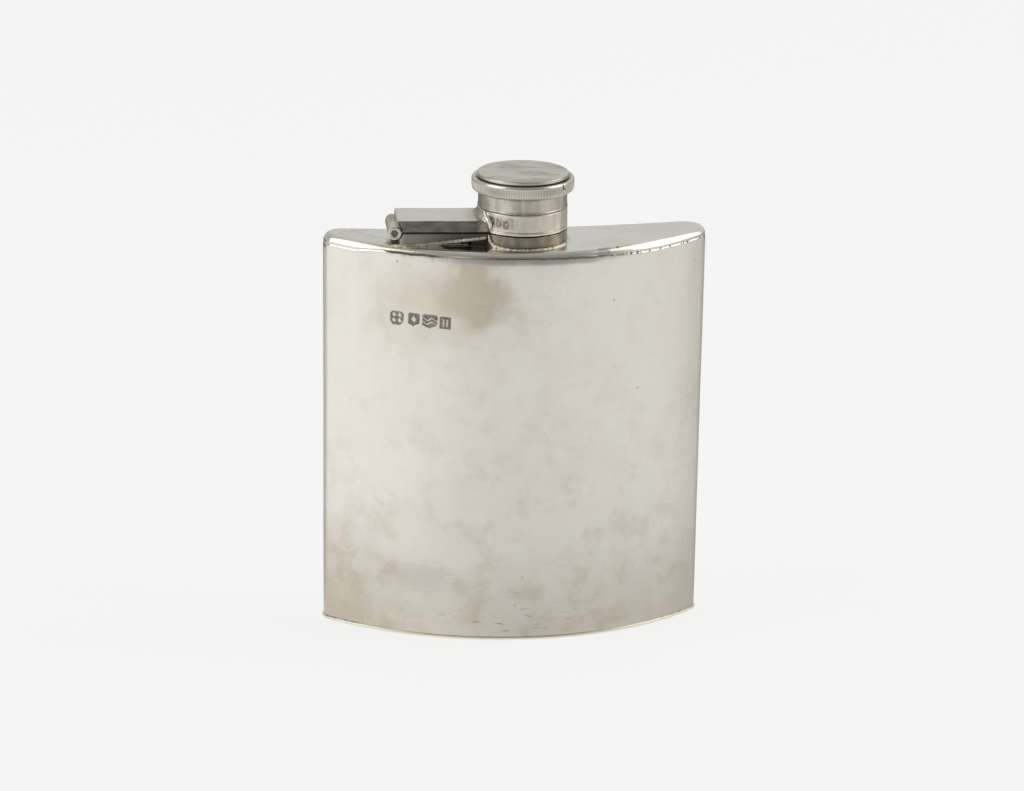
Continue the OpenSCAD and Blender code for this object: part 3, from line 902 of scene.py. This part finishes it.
def build_shoulder():
    path = whole_path(1.0)
    under, flange = TOP_Z - WALL, SEAM_Z - 2.5
    outside = WALL + FLANGE_GAP
    inside = outside + WALL
    tube = circle_round(path, NECK, TUBE_R, under)
    rings = [tube] + [ring_of(path, inset, z) for inset, z in (
        (inside + 0.5, under), (inside, under - 0.4), (inside, flange), (outside, flange), (outside, SEAM_Z),
        (0.5, SEAM_Z))]
    along = distance_along(*path.at(0))
    uneven = ragged(along, (0.4, 2.3, 4.0), (0.4, 0.7, 2.0))
    start = math.asin((SEAM_Z - EDGE_Z) / EDGE_H)
    steps = 16
    for k in range(steps + 1):
        a = start + (math.pi / 2 - start) * (k / steps) ** 0.8
        height = EDGE_Z + EDGE_H * math.sin(a)
        groove = (0.04 + 0.14 * uneven) * math.exp(-(height - SEAM_Z) / 0.25)
        dents = 0.02 * ripple(along / 11, along * 0 + height / 3, 2.0) + 0.02
        inset = EDGE_IN * (1 - math.cos(a)) + groove + dents * (1 - math.sin(a))
        rings.append(ring_of(path, inset, height))
    outer, inner = rings[-1], circle_round(path, NECK, TUBE_R, TOP_Z)
    spans = 26
    for k in range(1, spans):
        t = k / spans
        rings.append(outer * (1 - t) + inner * t)
    rings.append(inner)
    points = np.array(rings)
    x, y = points[..., 0], points[..., 1]
    sag = 0.03 + 0.02 * ripple(x / 17, y / 9, 5.0) + 0.006 * ripple(x / 4, y / 4)
    points[..., 2] -= sag * smooth((points[..., 2] - TOP_Z + 0.3) / 0.3)
    faces = grid_faces(len(rings), len(path), wrap_rows=True, wrap_columns=True)
    make_mesh("shoulder_plate", risen(points).reshape(-1, 3), faces, "flask", bright_silver)


def build_base():
    path = whole_path(1.6)
    middle, hub_r = (0.0, -2.0), 0.6
    hub, rim = circle_round(path, middle, hub_r, 0.05), ring_of(path, 0.0, 0.02, FOOT_SHARE)
    rings = [hub] + [hub * (1 - t) + rim * t for t in (0.25, 0.5, 0.75, 0.95)]
    out, inside, flange = -FOOT_LIP, WALL + FLANGE_GAP, BASE_H + FLANGE_H
    for inset, z in ((out + 0.15, 0), (out + 0.04, 0.05), (out, 0.15), (out, BASE_H - 0.2),
                     (out + 0.06, BASE_H - 0.06), (out + 0.2, BASE_H), (inside, BASE_H), (inside, flange),
                     (2 * WALL, flange), (2 * WALL, BASE_H)):
        rings.append(ring_of(path, inset, z, FOOT_SHARE))
    rings.append(circle_round(path, middle, hub_r, BASE_H))
    faces = tube_faces(len(rings), len(path))
    make_mesh("base_plate", np.concatenate(rings), faces, "flask", base_silver)


build_shoulder()
build_base()


# ---------------------------------------------------------------- turned pieces round the neck

def turned(name, section, body, material, segments=256, soft=0.08, longest=1.0, shape=None,
           place=at_neck, dirt=None):
    """A piece turned from its section of (radius, height) points. A section that starts and ends on the
    axis is closed there. shape(angle, r, z) may move the surface, dirt(angle, r, z) darkens it, and
    place puts the piece in the frame."""
    on_axis = section[0][0] == 0
    line = divide(soften(section, soft, closed=not on_axis), longest, closed=not on_axis)
    if on_axis:
        line = line[1:-1]
    line = np.array(line)
    angles = np.linspace(0, 2 * math.pi, segments, endpoint=False)
    r = line[:, 0][:, None] * np.ones(segments)
    z = line[:, 1][:, None] * np.ones(segments)
    a = angles[None, :] * np.ones_like(r)
    darkener = None if dirt is None else dirt(a, r, z)
    if shape is not None:
        r, z = shape(a, r, z)
    points = np.stack([r * np.cos(a), r * np.sin(a), z], axis=-1).reshape(-1, 3)
    rows = len(line)
    faces = grid_faces(rows, segments, wrap_rows=not on_axis, wrap_columns=True)
    if on_axis:
        first, last = len(points), len(points) + 1
        points = np.concatenate([points, [[0, 0, section[0][1]], [0, 0, section[-1][1]]]])
        for k in range(segments):
            n = (k + 1) % segments
            faces.append((first, n, k))
            faces.append((last, (rows - 1) * segments + k, (rows - 1) * segments + n))
    make_mesh(name, place(points), faces, body, material, darkener)


def handled(depth, seed):
    """Small unevenness of a turned piece that has been used, always inwards."""
    def shape(a, r, z):
        u, v = np.cos(a) * r / 6, np.sin(a) * r / 6
        return r - depth * (0.5 + 0.5 * ripple(u + z / 5, v, seed)), z
    return shape


def turn_gap(a, middle):
    """Angle from a place round the neck, in radians."""
    return (a - math.radians(middle) + math.pi) % (2 * math.pi) - math.pi


def ring_marks(a, r, z, soft):
    """Three worn punch marks on the outside of the swivel ring. Gives, for each, 1 inside its outline
    and 1 on its raised dot, with edges of the given width."""
    outside = r > COLLAR_R - 0.4
    for k in range(3):
        u, v = turn_gap(a, -136.5 + 10.5 * k) * COLLAR_R, z - (RING_Z + 2.9 - 0.15 * k)
        outline, dot = shape_distance(u, v, shield(0.8, 1.1)), round_distance(u, v, 0, 0.1, 0.35)
        yield outside * within(outline, soft), within(dot, soft)


def ring_shape(a, r, z):
    r, z = handled(0.03, 1.0)(a, r, z)
    for sunk, raised in ring_marks(a, r, z, 0.2):
        r = r - 0.08 * sunk * (1 - 0.8 * raised)
    return r, z


def ring_dirt(a, r, z):
    """Dirt in and round the worn punch marks."""
    return np.clip(sum(0.5 * sunk * (1 - 0.7 * raised) for sunk, raised in ring_marks(a, r, z, 0.3)), 0, 1)


def sleeve_shape(a, r, z):
    """The soldered joint down the front of the sleeve."""
    r, z = handled(0.03, 2.0)(a, r, z)
    line = np.exp(-(turn_gap(a, -94.5) * COLLAR_R / 0.13) ** 2)
    beside = np.exp(-((turn_gap(a, -92.5) * COLLAR_R) / 0.5) ** 2)
    return r - np.where(r > SKIRT_R + 0.3, 0.07 * line + 0.02 * beside, 0), z


TEETH = 190
TOOTH_DEPTH = 0.12


def index_notch(a, r, z):
    """A small slanting cut in the milled edge, right of the front."""
    up = z - RIM_TOP + 1.1
    across = turn_gap(a, -41) * RIM_R + 0.35 * up
    return smooth(1.5 - np.hypot(across / 0.3, up / 0.75)) * (r > RIM_R - 0.6)


def milling(a, r, z):
    """The milled band, 1 on it and 0 elsewhere, and how deep each point lies between its teeth."""
    band = smooth((z - RIM_Z - 0.35) / 0.3) * smooth((RIM_TOP - 0.45 - z) / 0.3) * (r > RIM_R - 0.6)
    return band, 0.5 - 0.5 * np.cos(a * TEETH)


def rim_shape(a, r, z):
    """Milled edge, worn in places, with one small notch."""
    r, z = handled(0.02, 3.0)(a, r, z)
    band, tooth = milling(a, r, z)
    wear = 0.75 + 0.25 * ripple(a * 3, z * 0, 1.0)
    return r - TOOTH_DEPTH * band * wear * tooth ** 0.8 - 0.4 * index_notch(a, r, z), z


def rim_dirt(a, r, z):
    band, tooth = milling(a, r, z)
    return np.clip(0.55 * band * tooth ** 2 + index_notch(a, r, z), 0, 1)


def disc_shape(a, r, z):
    u, v = r * np.cos(a), r * np.sin(a)
    top = smooth((z - DISC_TOP + 0.6) / 0.4)
    return r - 0.02, z - top * (0.03 + 0.03 * ripple(u / 5, v / 5, 4.0) * smooth((DISC_R - r) / 3))


def build_neck():
    fillet, groove = 0.15, COLLAR_R - 0.12
    keeper, skirt = KEEPER_R + RING_GAP, SKIRT_R + RING_GAP
    stem_in, stem_z = SKIRT_R - WALL, RIM_Z + WALL
    collar = [(TUBE_R, TOP_Z - 1.0), (COLLAR_R, TOP_Z - 1.0), (COLLAR_R, COLLAR_TOP - fillet),
              (COLLAR_R - fillet, COLLAR_TOP), (TUBE_R, COLLAR_TOP)]
    ring = [(keeper, RING_Z), (COLLAR_R, RING_Z), (COLLAR_R + 0.03, RING_Z + 0.4), (COLLAR_R, RING_Z + 0.7),
            (groove, RING_Z + 0.8), (COLLAR_R - 0.04, RING_Z + 0.95), (COLLAR_R - 0.04, RING_TOP - 0.15),
            (COLLAR_R - 0.15, RING_TOP), (skirt, RING_TOP), (skirt, RING_Z + 1), (keeper, RING_Z + 1)]
    sleeve = [(SKIRT_R, SLEEVE_Z), (COLLAR_R, SLEEVE_Z), (COLLAR_R, SLEEVE_Z + 0.3),
              (groove, SLEEVE_Z + 0.45), (groove, RIM_Z), (SKIRT_R, RIM_Z)]
    rim = [(SKIRT_R, RIM_Z), (RIM_R - 0.45, RIM_Z), (RIM_R - 0.12, RIM_Z + 0.35), (RIM_R, RIM_Z + 1.0),
           (RIM_R, RIM_TOP - 0.45), (RIM_R - 0.22, RIM_TOP), (RIM_R - 0.75, RIM_TOP),
           (RIM_R - 1.15, RIM_TOP - 0.25), (SKIRT_R, RIM_TOP - 0.3)]
    disc = [(0, DISC_UNDER), (stem_in, DISC_UNDER), (stem_in, stem_z), (SKIRT_R, stem_z),
            (SKIRT_R, DISC_UNDER), (DISC_R - 0.1, DISC_UNDER), (DISC_R, DISC_UNDER + 0.08),
            (DISC_R - 0.03, DISC_TOP - 0.2), (DISC_R - 0.3, DISC_TOP - 0.05),
            (DISC_R * 0.6, DISC_TOP - 0.02), (0, DISC_TOP)]
    turned("neck_collar", collar, "flask", collar_silver, shape=handled(0.03, 0.0), soft=0.12)
    turned("swivel_ring", ring, "arm", ring_silver, segments=720, longest=0.16,
           shape=ring_shape, soft=0.06, dirt=ring_dirt)
    turned("cap_sleeve", sleeve, "cap", sleeve_silver, segments=720, shape=sleeve_shape,
           soft=0.1)
    turned("milled_rim", rim, "cap", rim_silver, segments=TEETH * 8, longest=0.265,
           shape=rim_shape, soft=0.1, dirt=rim_dirt)
    turned("cap_disc", disc, "cap", rim_silver, longest=0.4, shape=disc_shape, soft=0.16)


build_neck()


# ---------------------------------------------------------------- hinge

def along_pin(points):
    """Points round the hinge pin, whose Z runs back along the pin, in the frame's axes."""
    p = np.asarray(points, float)
    return at_neck(np.stack([p[..., 0] - REACH, p[..., 2], PIN_Z - p[..., 1]], axis=-1))


def build_knuckles():
    front_to = ARM_FRONT + KNUCKLE_L
    rear_from = front_to + 0.2 + 2.4      # past the gap and the block's own knuckle
    for name, start, end in (("front_knuckle", ARM_FRONT, front_to), ("rear_knuckle", rear_from, ARM_BACK)):
        section = [(BORE_R, start), (BARREL_R, start), (BARREL_R, end), (BORE_R, end)]
        turned(name, section, "arm", knuckle_silver, segments=96, soft=0.36,
               shape=handled(0.03, 6.0), place=along_pin)


def shrink(line, inset):
    """The closed line moved inwards a little, along the mean of its neighbours' normals."""
    p = np.array(line)
    run = np.roll(p, -1, axis=0) - np.roll(p, 1, axis=0)
    run /= np.linalg.norm(run, axis=1)[:, None] + 1e-9
    return p + inset * np.stack([-run[:, 1], run[:, 0]], axis=-1)


def arm_section(y):
    """Section of the upper box at a place across it: coved round the barrel, ending inside the ring."""
    right = -math.sqrt(COLLAR_R ** 2 - y ** 2) + 0.3
    left = -REACH + 0.6
    crown = [(right * (1 - t) + left * t, ARM_TOP) for t in np.linspace(0.08, 0.92, 12)]
    corner = [(left + 0.7, ARM_TOP), (left, ARM_TOP), (left, ARM_TOP - 0.7)]
    edge = [tuple(p) for p in soften(corner, 0.3, 4, closed=False)]
    a, b = math.acos(0.6 / BARREL_R), math.asin((RING_Z - PIN_Z) / BARREL_R)
    cove = [(-REACH + BARREL_R * math.cos(t), PIN_Z + BARREL_R * math.sin(t)) for t in np.linspace(a, b, 9)]
    return [(right, RING_Z), (right, ARM_TOP)] + crown + edge + cove


def build_arm():
    edge = 0.45
    places = [(y, 0.0) for y in np.linspace(ARM_FRONT + edge, ARM_BACK - edge, 26)[1:-1]]
    for k in range(6):
        t = math.radians(90 * k / 5)
        out, inset = edge * (1 - math.sin(t)), edge * (1 - math.cos(t))
        places += [(ARM_FRONT + out, inset), (ARM_BACK - out, inset)]
    rings = []
    for y, inset in sorted(places):
        x, z = shrink(arm_section(min(max(y, ARM_FRONT), ARM_BACK)), inset).T
        sag = 0.04 * ripple(x / 6, y / 5 + z * 0, 1.0) + 0.03
        z = np.where(z > ARM_TOP - 0.3, z - sag, z)
        rings.append(np.stack([x, np.full(len(x), y), z], axis=-1))
    faces = tube_faces(len(rings), len(rings[0]))
    make_mesh("hinge_arm", at_neck(np.concatenate(rings)), faces, "arm", arm_silver,
              flat=True)


build_knuckles()
build_arm()


# ---------------------------------------------------------------- solder

DROP_STEP = 0.2     # space between the drops
VOXEL = 0.13
noise.seed_set(1)   # unseeded, the drops' jitter would differ in each run


def lumps(name, runs, body, solid=None):
    """Run solder: overlapping drops along each run of (x, y, z, radius) points, and a solid of
    (points, faces) if there is one, melted into one skin."""
    bm = bmesh.new()
    if solid is not None:
        corners = [bm.verts.new(p * MM) for p in at_neck(solid[0])]
        for face in solid[1]:
            bm.faces.new([corners[k] for k in face])
        bmesh.ops.recalc_face_normals(bm, faces=bm.faces)
    count = 0
    for run in runs:
        for p, q in zip(run[:-1], run[1:]):
            p, q = np.array(p, float), np.array(q, float)
            n = max(2, int(np.linalg.norm(q[:3] - p[:3]) / DROP_STEP))
            for k in range(n):
                x, y, z, r = p + (q - p) * k / n
                count += 1
                jitter = noise.noise_vector(Vector((x * 1.3, y * 1.3, z * 1.3 + count * 0.21)))
                r = r * (0.94 + 0.34 * noise.noise(Vector((x * 0.9, y * 0.9, 7.0 + count * 0.23))))
                centre = at_neck([x + 0.1 * jitter.x, y + 0.12 * jitter.y, z + 0.12 * jitter.z])
                place = Matrix.Translation(Vector(centre * MM))
                bmesh.ops.create_icosphere(bm, subdivisions=2, radius=r * MM, matrix=place)
    mesh = bpy.data.meshes.new(name)
    bm.to_mesh(mesh)
    bm.free()
    obj = linked(name, mesh)
    modify(obj, "REMESH", mode="VOXEL", voxel_size=VOXEL * MM)
    modify(obj, "SMOOTH", factor=0.5, iterations=3)
    bake(obj)
    obj.data.shade_smooth()
    hand_over(obj, name, body, solder)


def round_neck(radius, start, end, height, size, steps):
    """Drops round the neck, between two angles."""
    turns = np.radians(np.linspace(start, end, steps + 1))
    return [(radius * math.cos(a), radius * math.sin(a), height, size) for a in turns]


def block_runs(foot, front, back):
    """Solder along the foot of the lower box: up the front wall's rising foot, in the wedge under it
    and on the shoulder before it, and straight along the back."""
    slope = 2.2 / 14.47
    rising = [(x, front - 0.12, foot + max(0.0, x + 24) * slope - 0.1 + lift, r) for x, lift, r in
              ((-29.5, 0.1, 0.36), (-25.5, 0.4, 0.44), (-22, 0.4, 0.5), (-19, 0.3, 0.45), (-16, 0.2, 0.51),
               (-13, 0.08, 0.47), (-10.4, 0, 0.52), (-9.2, 0, 0.46))]
    behind = [(x, back + 0.1, foot + 0.1, r) for x, r in ((-29.5, 0.42), (-20, 0.38), (-9.8, 0.42))]
    start = [(-31.8, 0.5, 0.05, 0.35), (-30.6, 0.1, 0.15, 0.5), (-28.6, -0.1, 0.15, 0.5),
             (-26, -0.15, 0.05, 0.42), (-24, -0.2, 0.0, 0.36)]
    wedge = [[(x, front + y, foot + z, r) for x, y, z, r in start]]
    for out, end, size in ((0.45, -20.5, 0.32), (0.8, -19.5, 0.3), (1.15, -20, 0.26)):
        y = front - out
        wedge.append([(-29.5 + out, y, foot + 0.02 - 0.12 * out, size), (-25, y, foot - 0.1, size),
                      (end, y, foot - 0.12, size * 0.9)])
    for run in ([(-27, -0.15, 0.15, 0.36), (-23, -0.1, 0.32, 0.36), (-19.6, 0, 0.45, 0.32)],
                [(-23, -0.02, 0.55, 0.3), (-19.2, 0.05, 0.8, 0.28)]):
        wedge.append([(x, front + y, foot + z, r) for x, y, z, r in run])
    for y, size in ((-6.3, 0.34), (-5.4, 0.3)):
        wedge.append([(-22, y, foot + 0.1, size), (-17.5, y + 0.1, foot + 0.16, size),
                      (-13.5, y + 0.3, foot + 0.1, size * 0.9)])
    return [rising, behind] + wedge


def build_solder():
    foot, front, back = TOP_Z, ARM_FRONT, ARM_BACK
    lumps("block_solder", block_runs(foot, front, back), "flask")
    collar = []
    for a in np.linspace(-136, 136, 61):
        ahead = math.exp(-((a + 90) / 36) ** 2)
        radius, height = COLLAR_R + 0.08 + 0.42 * ahead, foot + 0.08 - 0.17 * ahead
        collar += round_neck(radius, a, a, height, 0.35 + 0.07 * ahead, 0)
    patch = round_neck(COLLAR_R + 0.45, -66, -14, foot - 0.02, 0.38, 20)
    corner = [(x, front + y, foot + z, r) for x, y, z, r in
              ((-8.6, -0.1, 2.6, 0.36), (-8.4, -0.3, 1.7, 0.46), (-8.0, -0.6, 0.9, 0.56),
               (-7.2, -1.4, 0.25, 0.58), (-5.7, -2.5, 0.05, 0.46), (-4.2, -3.3, 0, 0.36))]
    lumps("neck_solder", [collar, patch, corner], "flask")
    crest = [(-9.5, -5.8, RING_TOP - 0.35, 0.4), (-9.3, -6.3, 105.0, 0.55), (-9.1, -6.75, 104.3, 0.66),
             (-8.7, -7.2, 103.85, 0.68), (-8.35, -7.55, 103.3, 0.6), (-8.3, -7.55, 102.5, 0.55),
             (-8.3, -7.4, 101.7, 0.42)]
    rear = [(-10.6, back - 0.3, ARM_TOP - 0.1, 0.4), (-9.3, back + 0.1, ARM_TOP - 0.9, 0.4),
            (-9.0, back + 0.1, ARM_TOP - 2.4, 0.33)]
    lumps("arm_solder", [crest, rear], "arm", arm_fillet())


def arm_fillet():
    """The hollow-sided fillet from the top of the upper box up to the top edge of the swivel ring."""
    points, spans, steps = [], 44, 10
    start, end = 147, 218
    inner, outer, top = COLLAR_R - 0.5, COLLAR_R + 0.02, RING_TOP - 0.2
    fall = RING_TOP - ARM_TOP - 0.15
    for k in range(spans + 1):
        a = start + (end - start) * k / spans
        turn = math.radians(a)
        foot = 1.35 + 0.3 * math.sin(a * 0.13) + 0.18 * math.sin(a * 0.41 + 1) - 0.5 * smooth((a - 196) / 22)
        section = [(inner, RING_TOP - 0.15), (outer, top)]
        for n in range(1, steps + 1):
            t = n / steps
            section.append((outer + foot * (0.35 * t + 0.65 * t ** 3), top - fall * (1 - (1 - t) ** 1.35)))
        section += [(COLLAR_R + foot - 0.1, ARM_TOP - 0.4), (inner, ARM_TOP - 0.4)]
        for n, (r, z) in enumerate(section):
            if 1 < n < len(section) - 2:
                r = r + 0.07 * ripple(a / 9, z * 1.3, 2.0)
            points.append((r * math.cos(turn), r * math.sin(turn), z))
    return np.array(points), tube_faces(spans + 1, len(section))


build_solder()


# ---------------------------------------------------------------- plain pieces, with their edges broken

def eased(node, body, width, material):
    """The piece as packed, with its sharp edges bevelled a little."""
    mesh = frame["nodes"][node].data.copy()
    mesh.name = node + "_eased"
    bm = bmesh.new()
    bm.from_mesh(mesh)
    bmesh.ops.remove_doubles(bm, verts=bm.verts, dist=0.002 * MM)
    bmesh.ops.dissolve_limit(bm, angle_limit=math.radians(1), verts=bm.verts, edges=bm.edges)
    bm.to_mesh(mesh)
    bm.free()
    obj = linked(mesh.name, mesh)
    modify(obj, "BEVEL", width=width * MM, segments=2, angle_limit=math.radians(35))
    modify(obj, "WEIGHTED_NORMAL", keep_sharp=True)
    mesh.shade_smooth()
    bake(obj)
    hand_over(obj, node, body, material)


eased("hinge_block", "flask", 0.12, block_silver)
eased("block_knuckle", "flask", 0.12, knuckle_silver)
# The recessed pin gets the darkened silver, painted shade in the bore.
eased("hinge_pin", "flask", 0.15, shaded_pin_silver)
for node_name, body_name, bevel in (
        ("neck_tube", "flask", 0.12), ("bayonet_lugs", "flask", 0.1), ("arm_floor", "arm", 0.05),
        ("bayonet_sleeve", "cap", 0.1), ("retaining_ring", "cap", 0.1), ("cork_backing", "cap", 0.08)):
    eased(node_name, body_name, bevel, inner_silver)
eased("cork_seal", "cap", 0.25, cork)


# ---------------------------------------------------------------- camera, floor and light

CAMERA_AZIMUTH = -8.15      # from the front, turning right
CAMERA_ELEVATION = 15.95
CAMERA_ROLL = 0.89
CAMERA_TARGET = (-1.41, 0.0, 57.89)
CAMERA_DISTANCE = 1948.25
SENSOR = 36
LENS = 281.25


def direction(azimuth, elevation):
    """Towards a place round the flask, from the front turning right, and up."""
    a, e = math.radians(azimuth), math.radians(elevation)
    return Vector((math.sin(a) * math.cos(e), -math.cos(a) * math.cos(e), math.sin(e)))


def build_camera():
    back = direction(CAMERA_AZIMUTH, CAMERA_ELEVATION)
    right = (-back).cross(Vector((0, 0, 1))).normalized()
    up = right.cross(-back)
    c, s = math.cos(math.radians(CAMERA_ROLL)), math.sin(math.radians(CAMERA_ROLL))
    right, up = right * c + up * s, up * c - right * s
    camera = linked("camera", bpy.data.cameras.new("camera"))
    place = Matrix((right, up, back)).transposed().to_4x4()
    place.translation = Vector(CAMERA_TARGET) * MM + back * CAMERA_DISTANCE * MM
    camera.matrix_world = place
    camera.data.sensor_width = SENSOR
    camera.data.lens = LENS
    camera.data.clip_start = 0.05
    camera.data.clip_end = 50
    bpy.context.scene.camera = camera


def sheet(name, half, z, material):
    """A level square sheet. Its height, and half of its side, are in metres."""
    mesh = bpy.data.meshes.new(name)
    corners = [(-half, -half, z), (half, -half, z), (half, half, z), (-half, half, z)]
    mesh.from_pydata(corners, [], [(0, 1, 2, 3)])
    mesh.materials.append(material)
    return linked(name, mesh)


def build_floor():
    """A wide pale sheet. Most of its tone is its own, so that the shadow on it stays faint."""
    n = Nodes(bpy.data.materials.new("floor_paper"))
    paper = n.made("ShaderNodeBsdfDiffuse", {"Color": (0.2, 0.2, 0.2, 1)})[0]
    own = n.made("ShaderNodeEmission", {"Color": (1, 1, 0.998, 1), "Strength": 0.778})[0]
    n.made("ShaderNodeOutputMaterial", {"Surface": n.made("ShaderNodeAddShader", {0: paper, 1: own})[0]})
    floor = sheet("floor", 6.0, 0, n.owner)


# Middle of what the front reflects, in radians round the flask, turning right
FACING = 0.15


def build_card():
    """A card just above the floor that only reflections see. It is palest at the left and darker behind,
    close to the flask, where it holds a painted contact shadow, and far off both in front and behind.
    Lengths are metres."""
    n = Nodes(bpy.data.materials.new("floor_card_tone"))
    angle, x, y, _ = n.around("Object")
    tone = n.add(0.735, n.ramp(angle, 0.0, -1.25, 0.0, 0.18), n.ramp(angle, 0.15, 0.8, 0.0, 0.02),
                 n.ramp(angle, 1.5, 2.2, 0.0, -0.3), n.ramp(angle, -1.75, -2.3, 0.0, -0.42))
    # Painted contact shadow: the card is darker close to the flask.
    beside = n.most(n.add(n.absolute(x), -0.042), 0.0)
    near = n.ramp(n.length(beside, n.add(y, 0.0146)), 0.0, 0.15, 0.84, 1.0)
    aside = n.absolute(n.add(angle, -FACING))
    before = n.times(n.ramp(y, -0.40, -0.66, 0.0, 0.68), n.ramp(aside, 0.95, 0.3))
    far = n.most(before, n.ramp(y, 0.30, 0.40, 0.0, 0.65))
    tone = n.times(tone, near, n.rest(far))
    glow = n.made("ShaderNodeEmission", {"Color": (1.0, 0.992, 0.973, 1), "Strength": tone})[0]
    n.made("ShaderNodeOutputMaterial", {"Surface": glow})
    card = sheet("floor_card", 2.5, 0.0004, n.owner)
    card.visible_camera = False
    card.visible_diffuse = False
    card.visible_shadow = False


def build_world():
    """Studio walls: dim in front, brighter beside that, behind, and most of all behind to the right."""
    world = bpy.data.worlds.new("studio")
    bpy.context.scene.world = world
    n = Nodes(world)
    angle, x, y, z = n.around("Generated")
    behind = n.times(n.ramp(y, 0.0, 0.7), n.ramp(x, -0.3, 0.5, 0.0, 0.14))
    aside = n.times(n.ramp(n.absolute(n.add(angle, -FACING)), 0.35, 0.8, 0.0, 0.2), n.ramp(y, 0.0, -0.3))
    tone = n.add(0.26, n.ramp(y, -0.2, 0.7, 0.0, 0.30), behind, n.ramp(z, 0.5, 1.0, 0.0, 0.12),
                 n.times(aside, n.ramp(z, 0.75, 0.3)))
    glow = n.made("ShaderNodeBackground", {"Color": (1.0, 0.995, 0.98, 1), "Strength": tone})[0]
    n.made("ShaderNodeOutputWorld", {"Surface": glow})


def side_box(name, azimuth, elevation, size, power):
    """A soft box that faces the flask from that side. Its size is in metres, its power in watts."""
    data = bpy.data.lights.new(name, "AREA")
    data.shape = "RECTANGLE"
    data.size, data.size_y = size
    data.energy = power
    middle = Vector((0, 0, 0.06))
    place = middle + direction(azimuth, elevation) * 1.7
    box = linked(name, data)
    box.location = place
    box.rotation_euler = (middle - place).to_track_quat("-Z", "Y").to_euler()
    box.visible_camera = False


build_camera()
build_floor()
build_card()
build_world()
side_box("left_box", -78, 30, (1.15, 1.5), 7.6)
side_box("right_box", 84, 30, (1.2, 1.5), 9)
bpy.context.scene.view_settings.view_transform = "Standard"
